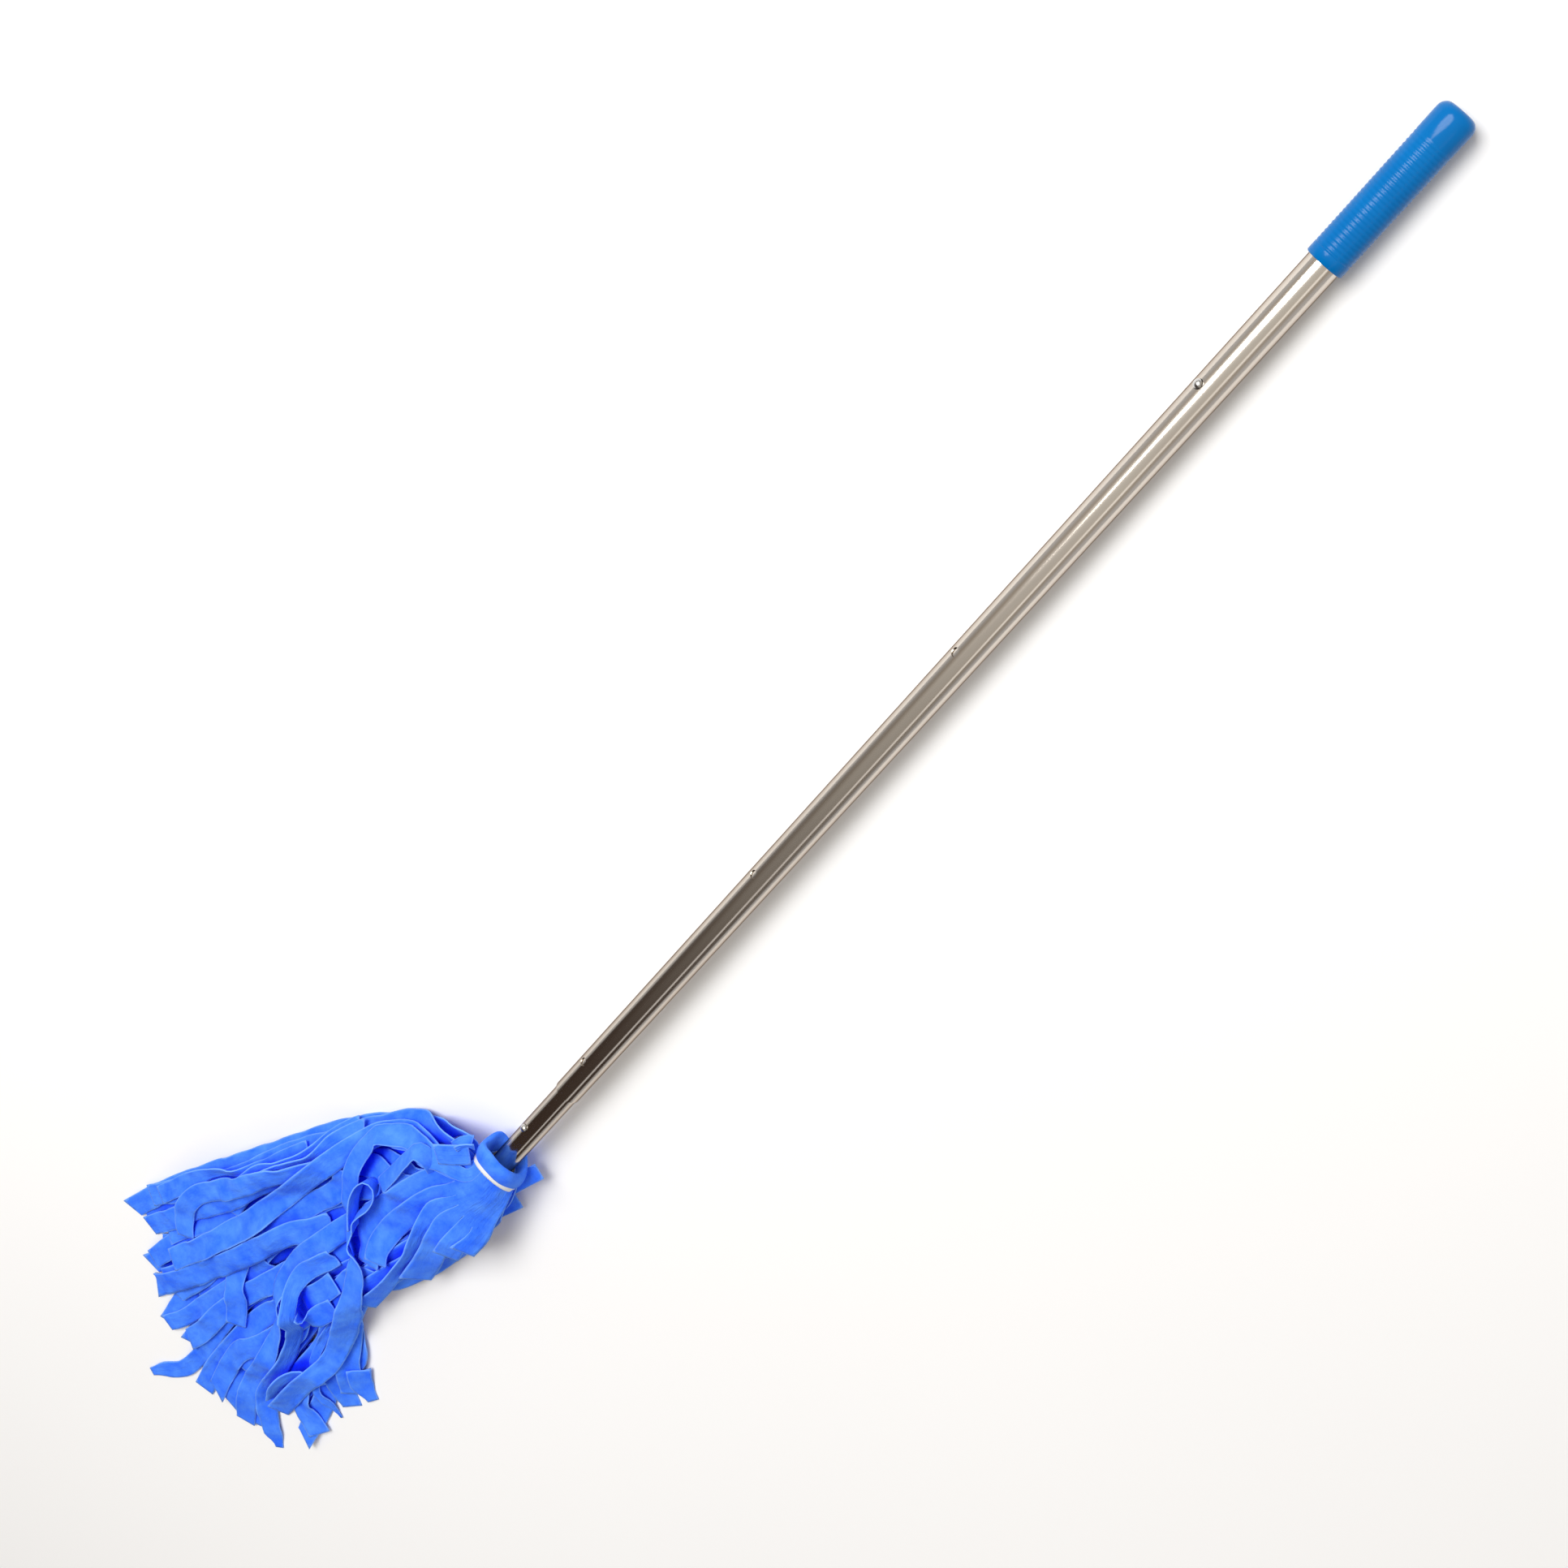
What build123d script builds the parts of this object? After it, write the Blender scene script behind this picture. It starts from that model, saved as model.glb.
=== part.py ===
"""Chamois mop lying on a floor: a telescopic tube handle with a ribbed grip, and a head of slit cloth
sheets that a tape binds round a plastic core.

Millimetres. The neck frame has its origin on the handle's axis at the binding tape, with +X along the
axis to the grip. The handle tilts a little: the end of the grip lies on the floor and the neck lies on
its cloth. The finished part is set with the middle of its underside at the origin.
"""

import math
import os

from build123d import *

# Tubes: the inner tube slides in the outer one
INNER_TUBE_DIAMETER = 20.0
INNER_TUBE_WALL = 0.8
OUTER_TUBE_WALL = 0.8
TUBE_CLEARANCE = 0.2

# Places along the handle, each measured from the one before, from the tape to the grip
SHOULDER_ABOVE_TAPE = 9.0
HEAD_BUTTON_ABOVE_SHOULDER = 48.6
BARE_TUBE_LENGTH = 99.7
LOWEST_HOLE_ABOVE_TUBE_END = 38.9
HOLE_PITCH = 228.6
HOLE_COUNT = 4
GRIP_ABOVE_TOP_HOLE = 94.3
INNER_TUBE_PAST_BUTTON = 25.0

# Grip sleeve, with ring ribs between two plain stretches
GRIP_LENGTH = 104.0
GRIP_WALL = 1.9
GRIP_CAP = 3.0
GRIP_END_ROUND = 6.0
GRIP_EDGE_BEVEL = 0.6
GRIP_PLAIN_END = 20.0
GRIP_PLAIN_FOOT = 7.0
RIB_PITCH = 2.8
RIB_GROOVE_DEPTH = 0.6
RIB_LAND_DROP = 0.1
RIB_FLOOR_SHARE = 0.3
RIB_SLOPE_SHARE = 0.2
RIB_LAND_SHARE = 0.3
SLEEVE_CLEARANCE = 0.1

# Plugs in the tubes
PLUG_FLANGE = 2.0
PLUG_STEM = 18.0
GUIDE_FLANGE = 6.0
GUIDE_STEM = 10.0
PLUG_CLEARANCE = 0.1
GUIDE_CLEARANCE = 0.15

# Lock buttons and the V springs under them
BUTTON_RADIUS = 3.1
BUTTON_CLEARANCE = 0.3
BUTTON_DOME = 1.6
BUTTON_FLANGE_LIP = 0.7
BUTTON_FLANGE_THICKNESS = 0.8
BUTTON_STAND_OUT = 2.9
BUTTON_ANGLE = 42.0
RIVET_RADIUS = 1.4
RIVET_LENGTH = 1.2
LEAF_WIDTH = 7.0
LEAF_THICKNESS = 0.5
LEAF_PAD = 11.0
LEAF_ARM = 34.0
LEAF_BEND = 1.6
LEAF_CLEARANCE = 0.1
LEAF_END_ROOM = 1.0

# Head core: a body for the sheets and a hollow spigot in the inner tube
CORE_SHOULDER_STEP = 1.2
CORE_BELOW_TAPE = 14.0
CORE_EDGE_BEVEL = 2.0
SPIGOT_CLEARANCE = 0.2
SPIGOT_WALL = 1.8
SPIGOT_PAST_BUTTON = 17.0

# Sheets round the core: rings of two halves, one half over the core and one under it
RING_COUNT = 4
SHEET_WALL = 1.2
SHEET_GAP = 0.5
SHEET_ABOVE_TAPE = 6.0
SHEET_BELOW_TAPE = 16.0
SHEET_PEEL_STEP = 2.5

# Collar and binding tape
BINDING_CLEARANCE = 0.3
COLLAR_TAIL = 1.0
COLLAR_BELOW_TAPE = 5.0
COLLAR_HEIGHT = 27.0
COLLAR_FLARE = 3.2
COLLAR_THICKNESS = 3.0
TAPE_WIDTH = 6.0
TAPE_THICKNESS = 1.4
TAPE_LIFT = 11.0

# Strips: the fan that they lie in, seen from above, from the end of the bound rings to the tips
STRIPS_PER_SHEET = 6
STRIP_WIDTH = 24.0
STRIP_FILL = 0.86
CLOTH_THICKNESS = 1.5
CLOTH_AT_NECK = 0.7
FLOOR_CUT = 0.5
LAYER_PITCH = 1.9
LAYER_SWELL = 5.4
SWELL_LEFT_SHARE = 0.4
SWELL_FALL_FROM = 0.40
SWELL_FALL_OVER = 0.35
FOLD_HEIGHT = 0.5
FOLD_WAVES = 2.2
SPREAD_SHARE = 0.20
SETTLE_SHARE = 0.30
TIP_BULGE = 126.0
TIP_STAGGER = 0.11
TIP_STAGGER_TURN = 2.4
LAYER_STAGGER = 0.5
RIGHT_EDGE_POINTS = [(-55, -36), (-150, -20), (-255, 5), (-340, -45), (-440, -72)]
LEFT_EDGE_POINTS = [(-40, 68), (-112, 124), (-228, 194), (-366, 260)]
SECTION_SHARES = [0.05, 0.10, 0.17, 0.26, 0.37, 0.50, 0.63, 0.76, 0.88, 1.0]
SLOPE_STEP = 0.004
FLAT_TOLERANCE = 1e-6

# Radii that follow from the tubes outwards
INNER_TUBE_RADIUS = INNER_TUBE_DIAMETER / 2
INNER_BORE = INNER_TUBE_RADIUS - INNER_TUBE_WALL
OUTER_BORE = INNER_TUBE_RADIUS + TUBE_CLEARANCE
OUTER_TUBE_RADIUS = OUTER_BORE + OUTER_TUBE_WALL
GRIP_BORE = OUTER_TUBE_RADIUS + SLEEVE_CLEARANCE
GRIP_RADIUS = GRIP_BORE + GRIP_WALL
SPIGOT_RADIUS = INNER_BORE - SPIGOT_CLEARANCE
SPIGOT_BORE = SPIGOT_RADIUS - SPIGOT_WALL
CORE_RADIUS = INNER_TUBE_RADIUS + CORE_SHOULDER_STEP
RING_PITCH = SHEET_WALL + SHEET_GAP
INNERMOST_RING = CORE_RADIUS + SHEET_GAP + SHEET_WALL / 2
OUTERMOST_RING = INNERMOST_RING + RING_PITCH * (RING_COUNT - 1)
COLLAR_BORE = OUTERMOST_RING + SHEET_WALL / 2 + BINDING_CLEARANCE
TAPE_BORE = COLLAR_BORE + COLLAR_TAIL + BINDING_CLEARANCE
TAPE_RADIUS = TAPE_BORE + TAPE_THICKNESS
BUTTON_HOLE = BUTTON_RADIUS + BUTTON_CLEARANCE
BUTTON_FLANGE = BUTTON_RADIUS + BUTTON_FLANGE_LIP

# Places along the neck frame's X axis
SHOULDER_X = SHOULDER_ABOVE_TAPE
HEAD_BUTTON_X = SHOULDER_X + HEAD_BUTTON_ABOVE_SHOULDER
TUBE_END_X = SHOULDER_X + BARE_TUBE_LENGTH
LOWEST_HOLE_X = TUBE_END_X + LOWEST_HOLE_ABOVE_TUBE_END
TELESCOPE_TRAVEL = HOLE_PITCH * (HOLE_COUNT - 1)
TOP_HOLE_X = LOWEST_HOLE_X + TELESCOPE_TRAVEL
INNER_TUBE_TOP_X = TOP_HOLE_X + INNER_TUBE_PAST_BUTTON
GRIP_FOOT_X = TOP_HOLE_X + GRIP_ABOVE_TOP_HOLE
GRIP_END_X = GRIP_FOOT_X + GRIP_LENGTH
GRIP_SEAT_X = GRIP_END_X - GRIP_CAP
OUTER_TUBE_TOP_X = GRIP_SEAT_X - PLUG_FLANGE

# The neck's height, and the tilt that sets the rounded end of the grip on the floor
NECK_HEIGHT = TAPE_RADIUS + TAPE_LIFT
END_ROUND_X = GRIP_END_X - GRIP_END_ROUND
END_ROUND_RADIUS = GRIP_RADIUS - GRIP_END_ROUND
HANDLE_TILT = math.asin(
    (NECK_HEIGHT - GRIP_END_ROUND) / math.hypot(END_ROUND_X, END_ROUND_RADIUS)
) - math.atan2(END_ROUND_RADIUS, END_ROUND_X)
NECK = Plane(
    origin=(0, 0, NECK_HEIGHT),
    x_dir=(math.cos(HANDLE_TILT), 0, -math.sin(HANDLE_TILT)),
    z_dir=(math.sin(HANDLE_TILT), 0, math.cos(HANDLE_TILT)),
)


def turned(*outline):
    """Solid of revolution about the handle's axis. The outline holds points (x, radius) or edges."""
    edges = [Polyline(*outline, close=True)] if isinstance(outline[0], tuple) else outline
    return revolve(make_face(edges), Axis.X)


def tube(start, end, bore, radius):
    """Plain round tube along the handle."""
    return turned((start, bore), (start, radius), (end, radius), (end, bore))


def button_plane(x):
    """Plane on the axis at x whose Z axis points the way that the lock buttons stand out."""
    angle = math.radians(BUTTON_ANGLE)
    return Plane(origin=(x, 0, 0), x_dir=(1, 0, 0), z_dir=(0, math.sin(angle), math.cos(angle)))


def button_hole(x, radius):
    """Cutter for a round hole in one wall of a tube, where a lock button stands at x."""
    depth = OUTER_TUBE_RADIUS + BUTTON_STAND_OUT
    return button_plane(x).location * Cylinder(radius, depth, align=(Align.CENTER, Align.CENTER, Align.MIN))


def make_grip():
    """Sleeve with a closed, rounded end and ring ribs."""
    land = GRIP_RADIUS - RIB_LAND_DROP
    root = GRIP_RADIUS - RIB_GROOVE_DEPTH
    first_rib_x = GRIP_FOOT_X + GRIP_PLAIN_FOOT
    rib_count = int((GRIP_LENGTH - GRIP_PLAIN_FOOT - GRIP_PLAIN_END) / RIB_PITCH)
    outside = [
        (GRIP_FOOT_X, GRIP_BORE),
        (GRIP_FOOT_X, GRIP_RADIUS - GRIP_EDGE_BEVEL),
        (GRIP_FOOT_X + GRIP_EDGE_BEVEL, GRIP_RADIUS),
        (first_rib_x, GRIP_RADIUS),
    ]
    floor = RIB_FLOOR_SHARE * RIB_PITCH
    slope = RIB_SLOPE_SHARE * RIB_PITCH
    crest = RIB_LAND_SHARE * RIB_PITCH
    for rib in range(rib_count):
        x = first_rib_x + rib * RIB_PITCH
        land_x = x + floor + slope
        outside += [(x, root), (x + floor, root), (land_x, land), (land_x + crest, land)]
    plain_end_x = first_rib_x + rib_count * RIB_PITCH
    outside += [(plain_end_x, root), (plain_end_x, GRIP_RADIUS), (END_ROUND_X, GRIP_RADIUS)]
    corner = GRIP_END_ROUND * math.sqrt(0.5)
    end_round = ThreePointArc(
        (END_ROUND_X, GRIP_RADIUS),
        (END_ROUND_X + corner, END_ROUND_RADIUS + corner),
        (GRIP_END_X, END_ROUND_RADIUS),
    )
    inside = Polyline(
        (GRIP_END_X, END_ROUND_RADIUS),
        (GRIP_END_X, 0),
        (GRIP_SEAT_X, 0),
        (GRIP_SEAT_X, GRIP_BORE),
        (GRIP_FOOT_X, GRIP_BORE),
    )
    return turned(Polyline(*outside), end_round, inside)


def make_outer_tube():
    """Tube with a row of index holes."""
    body = tube(TUBE_END_X, OUTER_TUBE_TOP_X, OUTER_BORE, OUTER_TUBE_RADIUS)
    for hole in range(HOLE_COUNT):
        body -= button_hole(LOWEST_HOLE_X + hole * HOLE_PITCH, BUTTON_HOLE)
    return body


def make_tube_end_plug():
    """Plug in the top of the outer tube, under the cap of the grip."""
    stem = OUTER_BORE - PLUG_CLEARANCE
    return turned(
        (OUTER_TUBE_TOP_X - PLUG_STEM, 0),
        (OUTER_TUBE_TOP_X - PLUG_STEM, stem),
        (OUTER_TUBE_TOP_X, stem),
        (OUTER_TUBE_TOP_X, OUTER_TUBE_RADIUS),
        (GRIP_SEAT_X, OUTER_TUBE_RADIUS),
        (GRIP_SEAT_X, 0),
    )


def make_inner_tube():
    """Sliding tube with a hole for each lock button."""
    body = tube(SHOULDER_X, INNER_TUBE_TOP_X, INNER_BORE, INNER_TUBE_RADIUS)
    for x in (HEAD_BUTTON_X, TOP_HOLE_X):
        body -= button_hole(x, BUTTON_HOLE)
    return body


def make_guide_cap():
    """Cap on the top of the inner tube that runs in the outer tube."""
    stem = INNER_BORE - PLUG_CLEARANCE
    flange = OUTER_BORE - GUIDE_CLEARANCE
    return turned(
        (INNER_TUBE_TOP_X - GUIDE_STEM, 0),
        (INNER_TUBE_TOP_X - GUIDE_STEM, stem),
        (INNER_TUBE_TOP_X, stem),
        (INNER_TUBE_TOP_X, flange),
        (INNER_TUBE_TOP_X + GUIDE_FLANGE, flange),
        (INNER_TUBE_TOP_X + GUIDE_FLANGE, 0),
    )


def flange_level(bore):
    """Distance from the axis to the top of a button's flange, against the wall of a bore."""
    return math.sqrt(bore**2 - BUTTON_FLANGE**2) - LEAF_CLEARANCE


def make_lock_button(x, bore, wall_radius):
    """Domed button with a flange inside the bore, a pin through the wall and a rivet to its spring."""
    flange_top = flange_level(bore)
    flange_foot = flange_top - BUTTON_FLANGE_THICKNESS
    top = wall_radius + BUTTON_STAND_OUT
    dome_foot = top - BUTTON_DOME
    dome_radius = (BUTTON_RADIUS**2 + BUTTON_DOME**2) / (2 * BUTTON_DOME)
    half_way = math.asin(BUTTON_RADIUS / dome_radius) / 2
    dome_middle = (dome_radius * math.sin(half_way), top - dome_radius * (1 - math.cos(half_way)))
    side = Polyline(
        (0, top),
        (0, flange_foot - RIVET_LENGTH),
        (RIVET_RADIUS, flange_foot - RIVET_LENGTH),
        (RIVET_RADIUS, flange_foot),
        (BUTTON_FLANGE, flange_foot),
        (BUTTON_FLANGE, flange_top),
        (BUTTON_RADIUS, flange_top),
        (BUTTON_RADIUS, dome_foot),
    )
    dome = ThreePointArc((BUTTON_RADIUS, dome_foot), dome_middle, (0, top))
    return button_plane(x).location * revolve(Plane.XZ * make_face([side, dome]), Axis.Z)


def strip_outline(points, thickness):
    """Closed outline of a strip of even thickness along a line of points, with mitred corners."""
    sides = ([], [])
    for i, point in enumerate(points):
        before = Vector(points[max(i - 1, 0)])
        after = Vector(points[min(i + 1, len(points) - 1)])
        into = (Vector(point) - before).normalized() if i else (after - Vector(point)).normalized()
        out = (after - Vector(point)).normalized() if i < len(points) - 1 else into
        normal = (Vector(-into.Y, into.X) + Vector(-out.Y, out.X)).normalized()
        reach = thickness / 2 / (normal.X * -into.Y + normal.Y * into.X)
        sides[0].append(Vector(point) + normal * reach)
        sides[1].append(Vector(point) - normal * reach)
    return Polyline(*sides[0], *reversed(sides[1]), close=True)


def make_leaf_spring(x, bore):
    """V spring of flat steel: one leg carries the button, and the other bears on the far wall."""
    button_leg = flange_level(bore) - BUTTON_FLANGE_THICKNESS - LEAF_THICKNESS / 2
    far_leg = LEAF_CLEARANCE + LEAF_THICKNESS / 2 - math.sqrt(bore**2 - (LEAF_WIDTH / 2) ** 2)
    pad = LEAF_PAD
    line = [
        (pad, button_leg),
        (-pad, button_leg),
        (-pad - LEAF_ARM, LEAF_BEND),
        (-pad - LEAF_ARM - LEAF_BEND, 0),
        (-pad - LEAF_ARM, -LEAF_BEND),
        (-pad, far_leg),
        (pad, far_leg),
    ]
    face = Plane.XZ * make_face(strip_outline(line, LEAF_THICKNESS))
    leaf = extrude(face, amount=LEAF_WIDTH / 2, both=True)
    rivet_hole = Cylinder(RIVET_RADIUS + PLUG_CLEARANCE, bore, align=(Align.CENTER, Align.CENTER, Align.MIN))
    return button_plane(x).location * (leaf - rivet_hole)


def make_head_core():
    """Plastic core: a body that the sheets are bound to and a hollow spigot in the inner tube."""
    foot_x = -CORE_BELOW_TAPE
    spigot_top_x = HEAD_BUTTON_X + SPIGOT_PAST_BUTTON
    spigot_floor_x = HEAD_BUTTON_X - LEAF_PAD - LEAF_ARM - LEAF_BEND - LEAF_END_ROOM
    body = turned(
        (foot_x, 0),
        (foot_x, CORE_RADIUS - CORE_EDGE_BEVEL),
        (foot_x + CORE_EDGE_BEVEL, CORE_RADIUS),
        (SHOULDER_X, CORE_RADIUS),
        (SHOULDER_X, SPIGOT_RADIUS),
        (spigot_top_x, SPIGOT_RADIUS),
        (spigot_top_x, SPIGOT_BORE),
        (spigot_floor_x, SPIGOT_BORE),
        (spigot_floor_x, 0),
    )
    return body - button_hole(HEAD_BUTTON_X, BUTTON_HOLE)


def make_collar():
    """Folded cloth ring: a thin tail under the tape and a mouth that flares out above it."""
    tail_radius = COLLAR_BORE + COLLAR_TAIL
    waist_x = TAPE_WIDTH / 2
    rim_x = COLLAR_HEIGHT - COLLAR_THICKNESS / 2
    middle_x = (waist_x + rim_x) / 2
    mouth = tail_radius + COLLAR_FLARE
    outside = ThreePointArc(
        (waist_x, tail_radius), (middle_x, mouth + COLLAR_TAIL), (rim_x, mouth + COLLAR_TAIL)
    )
    rim = ThreePointArc(
        (rim_x, mouth + COLLAR_TAIL),
        (COLLAR_HEIGHT, mouth + COLLAR_TAIL - COLLAR_THICKNESS / 2),
        (rim_x, mouth + COLLAR_TAIL - COLLAR_THICKNESS),
    )
    inside = ThreePointArc(
        (rim_x, mouth + COLLAR_TAIL - COLLAR_THICKNESS),
        (middle_x, mouth + COLLAR_TAIL - COLLAR_THICKNESS),
        (SHEET_ABOVE_TAPE, COLLAR_BORE),
    )
    tail = Polyline(
        (SHEET_ABOVE_TAPE, COLLAR_BORE),
        (-COLLAR_BELOW_TAPE, COLLAR_BORE),
        (-COLLAR_BELOW_TAPE, tail_radius),
        (waist_x, tail_radius),
    )
    return turned(outside, rim, inside, tail)


def make_binding_tape():
    """Tape wound round the tail of the collar."""
    return tube(-TAPE_WIDTH / 2, TAPE_WIDTH / 2, TAPE_BORE, TAPE_RADIUS)


def smooth(share):
    """Ease from 0 to 1 with flat ends."""
    share = min(max(share, 0.0), 1.0)
    return share * share * (3 - 2 * share)


def quad(first, second, third, fourth):
    """Face on four corners in order: flat where they lie in one plane, and ruled where they do not."""
    normal = (second - first).cross(third - first).normalized()
    if abs((fourth - first).dot(normal)) < FLAT_TOLERANCE:
        return Face(Wire.make_polygon([first, second, third, fourth], close=True))
    return Face.make_surface_from_curves(Edge.make_line(first, second), Edge.make_line(fourth, third))


def wall(place, neighbour):
    """Face through the thickness of the cloth. A place is a pair of corners, under and over."""
    return quad(place[0], place[1], neighbour[1], neighbour[0])


def rim(row):
    """Faces through the thickness of the cloth along a row of places."""
    return [wall(place, neighbour) for place, neighbour in zip(row, row[1:])]


def skin(row, following):
    """Faces under and over the cloth between two rows of places."""
    faces = []
    for side in (0, 1):
        for i in range(len(row) - 1):
            faces.append(quad(row[i][side], row[i + 1][side], following[i + 1][side], following[i][side]))
    return faces


RIGHT_EDGE = Spline((-SHEET_BELOW_TAPE, -OUTERMOST_RING), *RIGHT_EDGE_POINTS)
LEFT_EDGE = Spline((-SHEET_BELOW_TAPE, OUTERMOST_RING), *LEFT_EDGE_POINTS)


class Sheet:
    """One slit sheet: half a ring at the neck, and strips that lie in one layer of the fan."""

    def __init__(self, layer):
        """Layers count up from the floor: the outermost ring's lower half first, its upper half last."""
        self.layer = layer
        self.over = layer >= RING_COUNT
        ring = layer - RING_COUNT if self.over else RING_COUNT - 1 - layer
        self.ring = ring
        self.radius = INNERMOST_RING + RING_PITCH * ring
        self.side = 1 if self.over else -1

    def neck_point(self, across, x):
        """Point of the half ring, with across from 0 at its right edge to 1 at its left."""
        angle = math.pi * (1 - across)
        return NECK.from_local_coords(
            Vector(x, self.radius * math.cos(angle), self.side * self.radius * math.sin(angle))
        )

    def end_x(self, across):
        """Where the cloth leaves the half ring: outer cloth first at the sides and below, last on top."""
        inwards = RING_COUNT - 1 - self.ring
        top = math.sin(math.pi * across) ** 2 if self.over else 0
        return -SHEET_BELOW_TAPE - SHEET_PEEL_STEP * (inwards * (1 - top) + self.ring * top)

    def neck_lift(self, across):
        """Direction through the cloth at the half ring that points up."""
        angle = math.pi * (1 - across)
        return Vector(0, self.side * math.cos(angle), 0) + NECK.z_dir * math.sin(angle)

    def fan_point(self, across, along):
        """Point of the layer in the fan, with along from 0 at the neck to 1 at the tips."""
        right = RIGHT_EDGE @ min(along, 1)
        left = LEFT_EDGE @ min(along, 1)
        flat = right + (left - right) * across
        bulge = TIP_BULGE * 4 * across * (1 - across) * along**2
        fold = FOLD_HEIGHT * (1 - math.cos(2 * math.pi * (FOLD_WAVES * along + across))) / 2
        fall = (1 - SWELL_LEFT_SHARE) * smooth((across - SWELL_FALL_FROM) / SWELL_FALL_OVER)
        swell = LAYER_SWELL * (1 - along) * (1 - fall)
        height = CLOTH_THICKNESS / 2 - FLOOR_CUT + self.layer * (LAYER_PITCH + fold + swell)
        return Vector(flat.X - bulge, flat.Y, height)

    def point(self, across, along):
        """Point of the cloth between the neck and the tips."""
        neck = self.neck_point(across, self.end_x(across))
        fan = self.fan_point(across, along)
        spread = smooth(along / SPREAD_SHARE)
        settled = smooth(along / SETTLE_SHARE)
        flat = neck + (fan - neck) * spread
        return Vector(flat.X, flat.Y, neck.Z + (fan.Z - neck.Z) * settled)

    def lift(self, across, along):
        """Direction through the cloth, upwards in the fan, square to the strip and to its run."""
        sideways = self.point(across + SLOPE_STEP, along) - self.point(across - SLOPE_STEP, along)
        onwards = self.point(across, along + SLOPE_STEP) - self.point(across, along - SLOPE_STEP)
        return sideways.cross(onwards).normalized()

    def place(self, point, lift, thickness):
        """The under and over corners of the cloth at a point. Cloth on the floor is cut flat."""
        under = point - lift * (thickness / 2)
        return Vector(under.X, under.Y, max(under.Z, 0.0)), point + lift * (thickness / 2)

    def ring_place(self, across, x):
        """Place in the half ring."""
        return self.place(self.neck_point(across, x), self.neck_lift(across), SHEET_WALL)

    def fan_row(self, edges, along):
        """Row of places across a strip between the neck and its tip."""
        settled = smooth(along / SETTLE_SHARE)
        thickness = CLOTH_AT_NECK + (CLOTH_THICKNESS - CLOTH_AT_NECK) * settled
        return [
            self.place(self.point(across, along), self.lift(across, along), thickness) for across in edges
        ]

    def strip_rows(self, column):
        """Rows of one strip, from the top of the half ring to its tip."""
        columns = STRIPS_PER_SHEET + LAYER_STAGGER
        middle = (column + 0.5 + LAYER_STAGGER * (self.layer % 2)) / columns
        full = STRIP_FILL / columns / 2
        number = self.layer * STRIPS_PER_SHEET + column
        reach = 1 - TIP_STAGGER * (1 + math.sin(TIP_STAGGER_TURN * number)) / 2
        root_edges = (middle - full, middle, middle + full)
        rows = [
            [self.ring_place(across, SHEET_ABOVE_TAPE) for across in root_edges],
            [self.ring_place(across, self.end_x(across)) for across in root_edges],
        ]
        for share in SECTION_SHARES:
            along = share * (1 - (1 - reach) * smooth(share))
            room = (self.point(middle + full, along) - self.point(middle - full, along)).length
            half = full * min(1, STRIP_WIDTH / room)
            rows.append(self.fan_row((middle - half, middle, middle + half), along))
        return rows

    def solid(self):
        """Half ring and strips as one piece: a comb whose teeth are the strips."""
        strips = [self.strip_rows(column) for column in range(STRIPS_PER_SHEET)]
        top, foot = [[place for rows in strips for place in rows[level]] for level in (0, 1)]
        faces = skin(top, foot) + rim(top)
        faces += [wall(top[end], foot[end]) for end in (0, -1)]
        faces += [wall(before[1][-1], after[1][0]) for before, after in zip(strips, strips[1:])]
        for rows in strips:
            for row, following in zip(rows[1:], rows[2:]):
                faces += skin(row, following)
                faces += [wall(row[end], following[end]) for end in (0, -1)]
            faces += rim(rows[-1])
        return Solid(Shell(faces))


def make_parts():
    """All pieces by name, in the frame of the floor under the tape."""
    upper = (TOP_HOLE_X, INNER_BORE)
    lower = (HEAD_BUTTON_X, SPIGOT_BORE)
    along_handle = {
        "grip": make_grip(),
        "outer_tube": make_outer_tube(),
        "tube_end_plug": make_tube_end_plug(),
        "inner_tube": make_inner_tube(),
        "guide_cap": make_guide_cap(),
        "upper_lock_button": make_lock_button(*upper, OUTER_TUBE_RADIUS),
        "upper_leaf_spring": make_leaf_spring(*upper),
        "lower_lock_button": make_lock_button(*lower, INNER_TUBE_RADIUS),
        "lower_leaf_spring": make_leaf_spring(*lower),
        "head_core": make_head_core(),
        "collar": make_collar(),
        "binding_tape": make_binding_tape(),
    }
    parts = {name: NECK.location * shape for name, shape in along_handle.items()}
    for layer in range(2 * RING_COUNT):
        parts[f"fringe_sheet_{layer + 1}"] = Sheet(layer).solid()
    return parts


PARTS = make_parts()
boxes = [shape.bounding_box() for shape in PARTS.values()]
low = Vector(*[min(getattr(box.min, axis) for box in boxes) for axis in "XYZ"])
high = Vector(*[max(getattr(box.max, axis) for box in boxes) for axis in "XYZ"])
TO_ORIGIN = Pos(-(low.X + high.X) / 2, -(low.Y + high.Y) / 2, -low.Z)
os.makedirs("parts", exist_ok=True)
for name, shape in PARTS.items():
    export_step(TO_ORIGIN * shape, f"parts/{name}.step")
print("box", low, high)
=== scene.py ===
"""Looks of a chamois mop: a bright telescopic tube, a vinyl grip and a head of slit chamois sheets.

Everything is in metres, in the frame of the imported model: the handle runs along X, the grip is at
the positive end, and the head is fanned out on the floor at the negative end.
"""

import logging
import math
import random
from dataclasses import dataclass, field
from enum import Enum

import bmesh
import bpy
import numpy as np
from mathutils import Matrix, Vector


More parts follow.
